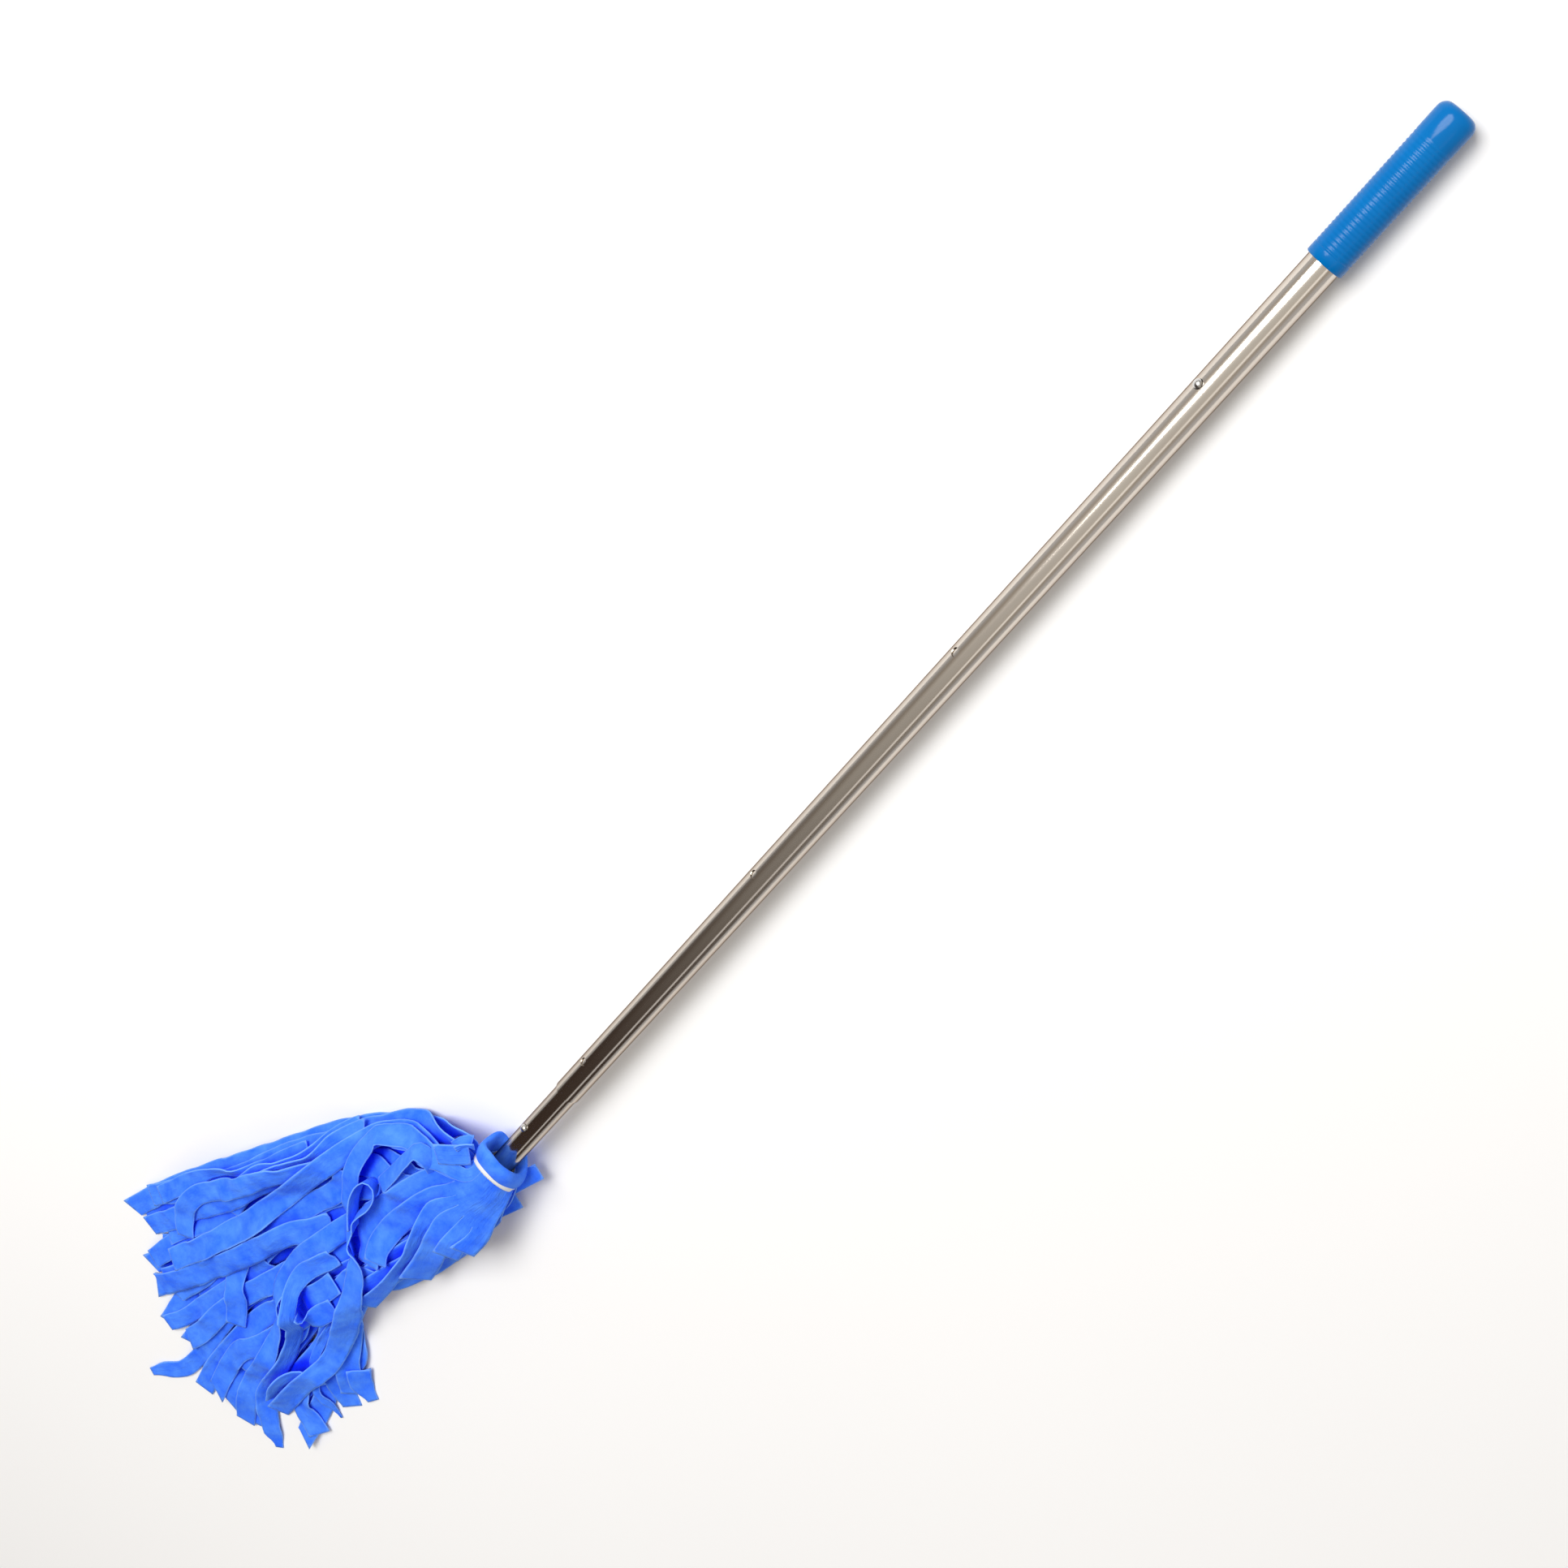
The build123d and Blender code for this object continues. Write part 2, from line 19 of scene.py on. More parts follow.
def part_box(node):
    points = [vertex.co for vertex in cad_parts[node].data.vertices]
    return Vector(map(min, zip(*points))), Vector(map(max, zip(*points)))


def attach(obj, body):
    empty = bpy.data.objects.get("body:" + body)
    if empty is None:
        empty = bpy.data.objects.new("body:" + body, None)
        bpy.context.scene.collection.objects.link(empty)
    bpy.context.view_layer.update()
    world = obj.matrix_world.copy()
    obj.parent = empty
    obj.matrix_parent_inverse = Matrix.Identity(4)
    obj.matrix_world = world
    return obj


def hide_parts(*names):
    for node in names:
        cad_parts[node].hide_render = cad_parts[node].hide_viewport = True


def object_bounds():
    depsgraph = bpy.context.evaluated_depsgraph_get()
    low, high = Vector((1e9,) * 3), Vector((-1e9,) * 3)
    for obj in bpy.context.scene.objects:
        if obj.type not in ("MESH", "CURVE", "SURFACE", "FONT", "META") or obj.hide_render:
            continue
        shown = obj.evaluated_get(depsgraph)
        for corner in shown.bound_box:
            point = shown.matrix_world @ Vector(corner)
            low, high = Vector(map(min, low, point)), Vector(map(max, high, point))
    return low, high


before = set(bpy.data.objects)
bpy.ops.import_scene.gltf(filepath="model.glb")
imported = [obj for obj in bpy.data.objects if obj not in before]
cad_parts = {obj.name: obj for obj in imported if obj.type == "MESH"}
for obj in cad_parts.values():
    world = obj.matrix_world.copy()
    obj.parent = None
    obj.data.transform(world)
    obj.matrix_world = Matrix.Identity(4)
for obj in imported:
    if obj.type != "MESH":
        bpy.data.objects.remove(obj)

CAD_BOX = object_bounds()
SEED = 41
MILLIMETRE = 0.001
WELD = 1e-6
# Numbers at the vertices of a sheet that its finish reads: how deep they lie, which it paints as shade,
# and the cut edges, which it paints paler, partly as a painted highlight.
PAINTED_SHADE = "hollow"
CUT = "cut"
# How finely a smooth line is sampled, and the least that its pieces may have.
SAMPLES_PER_POINT = 60
LEAST_ROWS = 4
LEAST_LENGTH = 1e-9

log = logging.getLogger("chamois_mop")

Operand = "Value | float"
Pair = tuple[float, float]
Triple = tuple[float, float, float]
Colour = Triple
Section = list[Pair] | tuple[Pair, ...]
Stops = tuple[tuple[float, Colour], ...]


class Body(Enum):
    """The bodies of the frame that new pieces ride on."""

    HANDLE = "outer_handle"
    HEAD = "inner_handle"


class Slot(Enum):
    """The material slots of the record."""

    CHROME = "chrome_tube"
    VINYL = "grip_vinyl"
    CHAMOIS = "chamois_cloth"
    TAPE = "white_tape"
    PLASTIC = "moulded_plastic"
    BUTTON = "button_steel"
    SPRING = "spring_steel"


class Value:
    """A shader socket that takes part in Python expressions."""

    def __init__(self, recipe: "Recipe", socket: bpy.types.NodeSocket) -> None:
        """Keep the socket and the recipe that it belongs to."""
        self.recipe = recipe
        self.socket = socket

    def _math(self, operation: str, left: Operand, right: Operand) -> "Value":
        """Add a Math node for two operands."""
        return self.recipe.node("ShaderNodeMath", {"operation": operation}, {0: left, 1: right})

    def __add__(self, other: Operand) -> "Value":
        """Sum."""
        return self._math("ADD", self, other)

    __radd__ = __add__

    def __mul__(self, other: Operand) -> "Value":
        """Product."""
        return self._math("MULTIPLY", self, other)

    __rmul__ = __mul__

    def __sub__(self, other: Operand) -> "Value":
        """Difference."""
        return self._math("SUBTRACT", self, other)

    def __rsub__(self, other: Operand) -> "Value":
        """Difference from a number."""
        return self._math("SUBTRACT", other, self)


class Recipe:
    """The node tree of one material."""

    def __init__(self, name: str) -> None:
        """Start a material with a plain Principled shader.

        Args:
            name: the material's name.
        """
        self.material = bpy.data.materials.new(name)
        self.material.use_nodes = True
        self.tree = self.material.node_tree
        self.shader = self.tree.nodes["Principled BSDF"]

    def node(self, kind: str, settings: dict, sockets: dict, output: int | str = 0) -> Value:
        """Add a node.

        Args:
            kind: the node's type.
            settings: attributes of the node, and the stops of a colour ramp.
            sockets: numbers, colours or values for the inputs, by name or index.
            output: the output that is wanted.

        Returns:
            The wanted output.
        """
        made = self.tree.nodes.new(kind)
        for key, setting in settings.items():
            if key == "stops":
                self._stops(made.color_ramp, setting)
            else:
                setattr(made, key, setting)
        for key, entry in sockets.items():
            self.plug(made.inputs[key], entry)
        return Value(self, made.outputs[output])

    @staticmethod
    def _stops(ramp: bpy.types.ColorRamp, stops: Stops) -> None:
        """Set a ramp's stops.

        Args:
            ramp: the ramp.
            stops: the place and the colour of each stop.
        """
        while len(ramp.elements) < len(stops):
            ramp.elements.new(1.0)
        for element, (place, colour) in zip(ramp.elements, stops):
            element.position = place
            element.color = (*colour, 1.0)

    def plug(self, target: bpy.types.NodeSocket, entry: "Operand | Triple") -> None:
        """Link a value to an input, or set a number or colour on it.

        Args:
            target: the input.
            entry: what goes into it.
        """
        if isinstance(entry, Value):
            self.tree.links.new(entry.socket, target)
        elif isinstance(entry, tuple) and target.type == "RGBA":
            target.default_value = (*entry, 1.0)
        else:
            target.default_value = entry

    def surface(self, **entries: "Operand | Colour") -> bpy.types.Material:
        """Fill the Principled shader's sockets.

        Args:
            entries: what goes into each socket, by its name in small letters with underscores.

        Returns:
            The finished material.
        """
        for key, entry in entries.items():
            name = key.replace("_", " ").title().replace("Ior", "IOR")
            self.plug(self.shader.inputs[name], entry)
        return self.material

    def place(self, kind: str = "Object") -> Value:
        """Give texture coordinates of one kind."""
        return self.node("ShaderNodeTexCoord", {}, {}, kind)

    def attribute(self, name: str) -> Value:
        """Give a number that the mesh holds at its vertices."""
        return self.node("ShaderNodeAttribute", {"attribute_name": name}, {}, "Fac")

    def noise(self, place: Value, scale: float, detail: float, roughness: float = 0.5) -> Value:
        """Give noise from 0 to 1."""
        sockets = {"Vector": place, "Scale": scale, "Detail": detail, "Roughness": roughness}
        return self.node("ShaderNodeTexNoise", {}, sockets)

    def streaks(self, place: Value, pitch: Triple, detail: float, roughness: float = 0.5) -> Value:
        """Give noise that has its own scale along each axis."""
        drawn_out = self.node("ShaderNodeMapping", {}, {"Vector": place, "Scale": pitch})
        return self.noise(drawn_out, 1.0, detail, roughness)

    def ramp(self, factor: Value, stops: Stops) -> Value:
        """Turn a value into a colour through a ramp."""
        return self.node("ShaderNodeValToRGB", {"stops": stops}, {"Fac": factor})

    def grade(self, factor: Value, low: float, high: float) -> Value:
        """Stretch a value so that low becomes 0 and high becomes 1, and clamp it."""
        sockets = {"Value": factor, "From Min": low, "From Max": high}
        return self.node("ShaderNodeMapRange", {"clamp": True}, sockets)

    def mix(self, factor: Operand, first: "Value | Colour", second: "Value | Colour") -> Value:
        """Mix two colours."""
        return self.node("ShaderNodeMix", {"data_type": "RGBA"}, {0: factor, 6: first, 7: second}, 2)

    def bump(
        self, height: Value, distance: float, strength: float = 1.0, under: Value | None = None
    ) -> Value:
        """Turn a height into a normal.

        Args:
            height: the height.
            distance: the size of a height of 1.
            strength: how much of it shows.
            under: a normal that this one is added to.

        Returns:
            The normal.
        """
        sockets = {"Height": height, "Distance": distance, "Strength": strength}
        if under is not None:
            sockets["Normal"] = under
        return self.node("ShaderNodeBump", {}, sockets, "Normal")


class RoomRecipe(Recipe):
    """The node tree of the world."""

    def __init__(self, name: str) -> None:
        """Start a world and set it in the scene.

        Args:
            name: the world's name.
        """
        world = bpy.data.worlds.new(name)
        world.use_nodes = True
        self.tree = world.node_tree
        bpy.context.scene.world = world

    def fill(self, colour: Value, level: float) -> None:
        """Give the world its light.

        Args:
            colour: the colour in each direction.
            level: the strength.
        """
        background = self.tree.nodes["Background"]
        self.plug(background.inputs["Color"], colour)
        self.plug(background.inputs["Strength"], level)


@dataclass(frozen=True)
class ChromePlate:
    """Bright plated steel tube with faint drawing lines and handling haze."""

    tint: Colour = (0.72, 0.66, 0.59)
    graze: Colour = (0.20, 0.14, 0.11)
    polish: float = 0.15
    haze: Colour = (0.64, 0.58, 0.52)
    haze_pitch: Triple = (9.0, 60.0, 60.0)
    haze_range: Pair = (0.45, 0.75)
    haze_share: float = 0.6
    haze_roughness: float = 0.05
    line_pitch: Triple = (4.0, 900.0, 900.0)
    line_depth: float = 0.000002
    line_strength: float = 0.5

    def material(self) -> bpy.types.Material:
        """Make the material.

        Returns:
            The finish, ready for a piece.
        """
        recipe = Recipe("chrome_plate")
        place = recipe.place()
        lines = recipe.streaks(place, self.line_pitch, detail=2.0)
        smudge = recipe.grade(recipe.streaks(place, self.haze_pitch, detail=4.0), *self.haze_range)
        return recipe.surface(
            base_color=recipe.mix(smudge * self.haze_share, self.tint, self.haze),
            metallic=1.0,
            specular_tint=self.graze,
            roughness=smudge * self.haze_roughness + self.polish,
            normal=recipe.bump(lines, self.line_depth, self.line_strength),
        )


@dataclass(frozen=True)
class DippedVinyl:
    """Glossy soft vinyl of the grip."""

    colour: Colour = (0.001, 0.152, 0.452)
    deep: Colour = (0.001, 0.130, 0.405)
    cloud_scale: float = 38.0
    cloud_range: Pair = (0.3, 0.75)
    gloss: float = 0.13
    gloss_change: float = 0.08
    reflection: float = 0.14
    skin: float = 0.03
    skin_roughness: float = 0.05
    grain_scale: float = 2600.0
    grain_depth: float = 0.00003
    grain_strength: float = 0.4

    def material(self) -> bpy.types.Material:
        """Make the material.

        Returns:
            The finish, ready for a piece.
        """
        recipe = Recipe("dipped_vinyl")
        place = recipe.place()
        cloud = recipe.grade(recipe.noise(place, self.cloud_scale, detail=3.0), *self.cloud_range)
        grain = recipe.noise(place, self.grain_scale, detail=2.0)
        return recipe.surface(
            base_color=recipe.mix(cloud, self.colour, self.deep),
            roughness=cloud * self.gloss_change + self.gloss,
            specular_ior_level=self.reflection,
            coat_weight=self.skin,
            coat_roughness=self.skin_roughness,
            normal=recipe.bump(grain, self.grain_depth, self.grain_strength),
        )


@dataclass(frozen=True)
class ChamoisNap:
    """Napped blue chamois: soft patches, fine grain, long creases, paler cut edges with a painted
    highlight, and painted shade deep between strips.
    """

    light: Colour = (0.088, 0.290, 1.0)
    deep: Colour = (0.018, 0.132, 1.0)
    # Painted shade: the colour of the cloth where it lies deep between other strips.
    hollow: Colour = (0.001, 0.026, 1.0)
    # Paler cut edges, partly a painted highlight along them.
    edge: Colour = (0.20, 0.43, 1.0)
    edge_width: float = 0.24
    edge_share: float = 0.7
    patch_scale: float = 55.0
    patch_range: Pair = (0.32, 0.70)
    patch_share: float = 0.75
    grain_scale: float = 900.0
    grain_height: float = 0.6
    pore_scale: float = 240.0
    pore_height: float = 0.8
    nap_depth: float = 0.0004
    nap_strength: float = 0.5
    crease_pitch: Triple = (2.2, 26.0, 1.0)
    crease_depth: float = 0.0016
    wrinkle_pitch: Triple = (5.0, 95.0, 1.0)
    wrinkle_depth: float = 0.0009
    dullness: float = 0.92
    dullness_change: float = 0.1
    reflection: float = 0.10
    sheen: float = 0.12
    sheen_roughness: float = 0.5
    sheen_tint: Colour = (0.35, 0.55, 1.0)

    def material(self) -> bpy.types.Material:
        """Make the material.

        Returns:
            The finish, ready for a piece.
        """
        recipe = Recipe("chamois_nap")
        place = recipe.place()
        cloud = recipe.noise(place, self.patch_scale, detail=4.0, roughness=0.6)
        patch = recipe.grade(cloud, *self.patch_range)
        grain = recipe.noise(place, self.grain_scale, detail=4.0, roughness=0.65)
        pores = recipe.noise(place, self.pore_scale, detail=2.0)
        strip = recipe.place("UV")
        crease = recipe.streaks(strip, self.crease_pitch, detail=3.0, roughness=0.55)
        wrinkle = recipe.streaks(strip, self.wrinkle_pitch, detail=4.0, roughness=0.6)
        # The cut edges turn paler, partly as a painted highlight.
        rim = recipe.grade(recipe.attribute(CUT), 1.0 - self.edge_width, 1.0)
        worn = patch * self.patch_share + grain * (1.0 - self.patch_share)
        nap = recipe.mix(worn, self.deep, self.light)
        edged = recipe.mix(rim * self.edge_share, nap, self.edge)
        folds = recipe.bump(crease * self.crease_depth + wrinkle * self.wrinkle_depth, 1.0)
        fibres = grain * self.grain_height + pores * self.pore_height
        return recipe.surface(
            # The base colour turns to painted shade where the cloth lies deep between strips.
            base_color=recipe.mix(recipe.attribute(PAINTED_SHADE), edged, self.hollow),
            roughness=self.dullness - grain * self.dullness_change,
            specular_ior_level=self.reflection,
            sheen_weight=self.sheen,
            sheen_roughness=self.sheen_roughness,
            sheen_tint=self.sheen_tint,
            normal=recipe.bump(fibres, self.nap_depth, self.nap_strength, under=folds),
        )


@dataclass(frozen=True)
class WovenTape:
    """White cotton tape with a fine cross rib and painted shade in its grooves."""

    white: Colour = (0.86, 0.86, 0.85)
    shade: Colour = (0.62, 0.65, 0.72)
    rib_scale: float = 420.0
    rib_waver: float = 1.5
    rib_share: float = 0.4
    fuzz_scale: float = 1400.0
    fuzz_share: float = 0.3
    dullness: float = 0.88
    dullness_change: float = 0.1
    sheen: float = 0.2
    weave_depth: float = 0.0002
    weave_strength: float = 0.6

    def material(self) -> bpy.types.Material:
        """Make the material.

        Returns:
            The finish, ready for a piece.
        """
        recipe = Recipe("woven_tape")
        place = recipe.place()
        sockets = {"Vector": place, "Scale": self.rib_scale, "Distortion": self.rib_waver}
        ribs = recipe.node("ShaderNodeTexWave", {"bands_direction": "X"}, sockets, "Fac")
        fuzz = recipe.noise(place, self.fuzz_scale, detail=3.0)
        # The ribs paint shade into their grooves, and the fuzz adds a random tone to the fibres.
        rib_shade_and_fuzz = ribs * self.rib_share + fuzz * self.fuzz_share
        return recipe.surface(
            base_color=recipe.mix(rib_shade_and_fuzz, self.white, self.shade),
            roughness=self.dullness - fuzz * self.dullness_change,
            sheen_weight=self.sheen,
            normal=recipe.bump(ribs + fuzz, self.weave_depth, self.weave_strength),
        )


@dataclass(frozen=True)
class Steel:
    """Bare steel of a button or a spring."""

    name: str
    tint: Colour
    polish: float
    dark_share: float = 0.6
    wear_scale: float = 400.0
    wear_share: float = 0.5
    wear_roughness: float = 0.15

    def material(self) -> bpy.types.Material:
        """Make the material.

        Returns:
            The finish, ready for a piece.
        """
        recipe = Recipe(self.name)
        wear = recipe.noise(recipe.place(), self.wear_scale, detail=4.0)
        dark = tuple(self.dark_share * part for part in self.tint)
        return recipe.surface(
            base_color=recipe.mix(wear * self.wear_share, self.tint, dark),
            metallic=1.0,
            roughness=wear * self.wear_roughness + self.polish,
        )


@dataclass(frozen=True)
class MouldedPlastic:
    """Plain moulded plastic of the inner pieces."""

    colour: Colour = (0.055, 0.060, 0.070)
    dull_share: float = 0.85
    cloud_scale: float = 45.0
    gloss: float = 0.4
    gloss_change: float = 0.15
    grain_scale: float = 1100.0
    grain_depth: float = 0.00005
    grain_strength: float = 0.4

    def material(self) -> bpy.types.Material:
        """Make the material.

        Returns:
            The finish, ready for a piece.
        """
        recipe = Recipe("grey_plastic")
        place = recipe.place()
        grain = recipe.noise(place, self.grain_scale, detail=3.0)
        cloud = recipe.noise(place, self.cloud_scale, detail=2.0)
        dull = tuple(self.dull_share * part for part in self.colour)
        return recipe.surface(
            base_color=recipe.mix(cloud, self.colour, dull),
            roughness=grain * self.gloss_change + self.gloss,
            normal=recipe.bump(grain, self.grain_depth, self.grain_strength),
        )


@dataclass
class Neck:
    """Where the head is bound: the middle of the tape, read from the frame."""

    middle: Vector = field(init=False)

    def __post_init__(self) -> None:
        """Read the tape's place."""
        low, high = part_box("binding_tape")
        self.middle = (Vector(low) + Vector(high)) / 2


@dataclass(frozen=True)
class PhotoCamera:
    """The camera of the photograph, found from the straight handle and the head's outline."""

    neck: Neck
    picture: float = 1932.0
    focal: float = 2100.0
    sensor: float = 36.0
    nearest: float = 0.02
    from_neck: Pair = (1.0145, 0.0339)
    height: float = 1.0837
    elevation: float = math.radians(61.68)
    roll: float = math.radians(138.44)

    def place(self) -> Vector:
        """Give the camera's place in the frame."""
        along, aside = self.from_neck
        return Vector((self.neck.middle.x + along, self.neck.middle.y + aside, self.height))

    def axes(self) -> tuple[Vector, Vector, Vector]:
        """Turn the camera.

        Returns:
            The picture's right and up directions, and the way the camera looks.
        """
        ahead = Vector((-math.cos(self.elevation), 0.0, -math.sin(self.elevation)))
        level = Vector((0.0, 1.0, 0.0))
        rise = Vector((-math.sin(self.elevation), 0.0, math.cos(self.elevation)))
        right = level * math.cos(self.roll) - rise * math.sin(self.roll)
        up = level * math.sin(self.roll) + rise * math.cos(self.roll)
        return right, up, ahead

    def build(self) -> None:
        """Add the camera to the scene."""
        right, up, ahead = self.axes()
        data = bpy.data.cameras.new("photo_camera")
        data.sensor_width = self.sensor
        data.lens = self.focal / self.picture * self.sensor
        data.clip_start = self.nearest
        camera = bpy.data.objects.new("photo_camera", data)
        turn = Matrix((right, up, -ahead)).transposed().to_4x4()
        camera.matrix_world = Matrix.Translation(self.place()) @ turn
        bpy.context.scene.collection.objects.link(camera)
        bpy.context.scene.camera = camera

    def on_levels(self, pixels: np.ndarray, heights: np.ndarray) -> np.ndarray:
        """Find the points that show at given pixels.

        Args:
            pixels: picture coordinates, one row a point.
            heights: the height of each point over the floor.

        Returns:
            X and Y of the points.
        """
        right, up, ahead = (np.array(axis) for axis in self.axes())
        aside = (pixels[:, :1] - self.picture / 2) / self.focal
        above = (self.picture / 2 - pixels[:, 1:]) / self.focal
        rays = ahead + aside * right + above * up
        start = np.array(self.place())
        reach = (heights - start[2]) / rays[:, 2]
        return start[:2] + rays[:, :2] * reach[:, None]


@dataclass(frozen=True)
class Lamp:
    """A soft light with four sides.

    Attributes:
        name: its name.
        power: its power in watts.
        sides: its length and width.
        place: where it hangs.
        target: the place that it points at.
    """

    name: str
    power: float
    sides: Pair
    place: Triple
    target: Triple

    def build(self) -> None:
        """Add the light to the scene."""
        data = bpy.data.lights.new(self.name, "AREA")
        data.shape = "RECTANGLE"
        data.size, data.size_y = self.sides
        data.energy = self.power
        light = bpy.data.objects.new(self.name, data)
        aim = Vector(self.target) - Vector(self.place)
        turn = aim.to_track_quat("-Z", "Y").to_matrix().to_4x4()
        light.matrix_world = Matrix.Translation(self.place) @ turn
        bpy.context.scene.collection.objects.link(light)


@dataclass(frozen=True)
class Studio:
    """A pale floor, a soft overhead light, a strip light beside the tube and a plain graded room."""

    floor_side: float = 14.0
    floor_squares: int = 4
    floor_colour: Colour = (0.90, 0.90, 0.90)
    floor_grey: Colour = (0.87, 0.87, 0.875)
    floor_cloud: float = 1.5
    floor_roughness: float = 0.8
    floor_reflection: float = 0.1
    ceiling: Lamp = Lamp("ceiling_light", 98.0, (1.7, 1.7), (0.9, 1.3, 2.6), (-0.3, 0.0, 0.0))
    strip: Lamp = Lamp("strip_light", 2.2, (3.2, 0.40), (-0.75, -1.25, 1.45), (-0.75, 0.0, 0.0))
    room_level: float = 0.64
    room_stops: Stops = (
        (0.0, (0.86, 0.86, 0.87)), (0.25, (0.80, 0.80, 0.81)), (0.60, (0.62, 0.55, 0.47)),
        (0.85, (0.95, 0.90, 0.82)), (1.0, (1.0, 0.97, 0.91)),
    )
    wall_colour: Colour = (0.060, 0.036, 0.026)
    wall_ahead: Pair = (-0.24, -0.60)
    wall_height: Pair = (0.12, 0.30)

    def build(self) -> None:
        """Add the floor, the lights and the room."""
        self._floor()
        self.ceiling.build()
        self.strip.build()
        self._room()
        bpy.context.scene.view_settings.view_transform = "Standard"

    def _floor(self) -> None:
        """Add the floor."""
        mesh = bpy.data.meshes.new("floor")
        shape = bmesh.new()
        squares = self.floor_squares
        bmesh.ops.create_grid(shape, x_segments=squares, y_segments=squares, size=self.floor_side / 2)
        shape.to_mesh(mesh)
        shape.free()
        floor = bpy.data.objects.new("floor", mesh)
        bpy.context.scene.collection.objects.link(floor)
        recipe = Recipe("studio_floor")
        cloud = recipe.noise(recipe.place(), self.floor_cloud, detail=2.0)
        finish = recipe.surface(
            base_color=recipe.mix(cloud, self.floor_colour, self.floor_grey),
            roughness=self.floor_roughness,
            specular_ior_level=self.floor_reflection,
        )
        mesh.materials.append(finish)

    def _room(self) -> None:
        """Grade the room from a pale horizon to a bright ceiling, with a brown wall beyond the head."""
        room = RoomRecipe("room")
        place = room.place("Generated")
        ahead = room.node("ShaderNodeSeparateXYZ", {}, {"Vector": place}, "X")
        height = room.node("ShaderNodeSeparateXYZ", {}, {"Vector": place}, "Z")
        wall = room.grade(ahead, *self.wall_ahead) * room.grade(height, *self.wall_height)
        open_room = room.ramp(height, self.room_stops)
        room.fill(room.mix(wall, open_room, self.wall_colour), self.room_level)


def new_piece(
    name: str, shape: bmesh.types.BMesh, material: bpy.types.Material, body: Body = Body.HEAD
) -> bpy.types.Object:
    """Turn a finished bmesh into a smooth-shaded piece.

    Args:
        name: the piece's name.
        shape: the bmesh, which is freed.
        material: the finish.
        body: the body that it rides on.

    Returns:
        The new object.
    """
    mesh = bpy.data.meshes.new(name)
    shape.to_mesh(mesh)
    shape.free()
    for face in mesh.polygons:
        face.use_smooth = True
    piece = bpy.data.objects.new(name, mesh)
    bpy.context.scene.collection.objects.link(piece)
    mesh.materials.append(material)
    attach(piece, body.value)
    return piece


def thicken(piece: bpy.types.Object, thickness: float) -> None:
    """Give a surface the thickness of cloth, with sharp edges, and smooth it once.

    Args:
        piece: the surface.
        thickness: the cloth's thickness.
    """
    wall = piece.modifiers.new("thickness", "SOLIDIFY")
    wall.thickness = thickness
    wall.offset = 0.0
    wall.use_even_offset = False
    wall.edge_crease_inner = 1.0
    wall.edge_crease_outer = 1.0
    wall.edge_crease_rim = 1.0
    smooth = piece.modifiers.new("smooth", "SUBSURF")
    smooth.levels = 1
    smooth.render_levels = 1


def spun(section: Section, turns: int, closed: bool = False) -> bmesh.types.BMesh:
    """Spin a section round the X axis.

    Args:
        section: places along the axis, each with its radius.
        turns: the steps of the full turn.
        closed: whether the last point is joined to the first.

    Returns:
        The shape, with its faces outwards.
    """
    shape = bmesh.new()
    verts = [shape.verts.new((along, 0.0, radius)) for along, radius in section]
    followers = verts[1:] + verts[:1] if closed else verts[1:]
    edges = [shape.edges.new(pair) for pair in zip(verts, followers)]
    bmesh.ops.spin(
        shape, geom=verts + edges, cent=(0, 0, 0), axis=(1, 0, 0),
        angle=math.tau, steps=turns, use_merge=True,
    )
    bmesh.ops.remove_doubles(shape, verts=shape.verts[:], dist=WELD)
    bmesh.ops.recalc_face_normals(shape, faces=shape.faces[:])
    return shape


def smooth_step(share: np.ndarray) -> np.ndarray:
    """Ease from 0 to 1."""
    share = np.clip(share, 0.0, 1.0)
    return share * share * (3.0 - 2.0 * share)


def running_length(points: np.ndarray) -> np.ndarray:
    """Give the distance of each point from the first one, along the line in X and Y."""
    steps = np.linalg.norm(np.diff(points[:, :2], axis=0), axis=1)
    return np.concatenate([[0.0], np.cumsum(steps)])


def smooth_line(points: np.ndarray, step: float) -> np.ndarray:
    """Run a smooth line through a few points.

    Args:
        points: the points, one row each; the first two columns are X and Y.
        step: the distance between the samples.

    Returns:
        Even samples along the line, with the same columns.
    """
    knots = running_length(points)
    slopes = np.gradient(points, knots, axis=0)
    dense = np.linspace(0.0, knots[-1], SAMPLES_PER_POINT * len(points))
    span = np.clip(np.searchsorted(knots, dense, side="right") - 1, 0, len(knots) - 2)
    run = (knots[span + 1] - knots[span])[:, None]
    at = ((dense - knots[span])[:, None]) / run
    line = (
        (2 * at**3 - 3 * at**2 + 1) * points[span]
        + (at**3 - 2 * at**2 + at) * run * slopes[span]
        + (3 * at**2 - 2 * at**3) * points[span + 1]
        + (at**3 - at**2) * run * slopes[span + 1]
    )
    lengths = running_length(line)
    even = np.linspace(0.0, lengths[-1], max(LEAST_ROWS, round(lengths[-1] / step) + 1))
    return np.stack([np.interp(even, lengths, column) for column in line.T], axis=1)


def finer(rows: np.ndarray, axis: int) -> np.ndarray:
    """Put a point between each two neighbours.

    Args:
        rows: the points, by row and column.
        axis: 0 to add rows, 1 to add columns.

    Returns:
        The old and the new points.
    """
    count = rows.shape[axis]
    old = np.arange(count)
    new = np.linspace(0, count - 1, 2 * count - 1)
    return np.apply_along_axis(lambda line: np.interp(new, old, line), axis, rows)


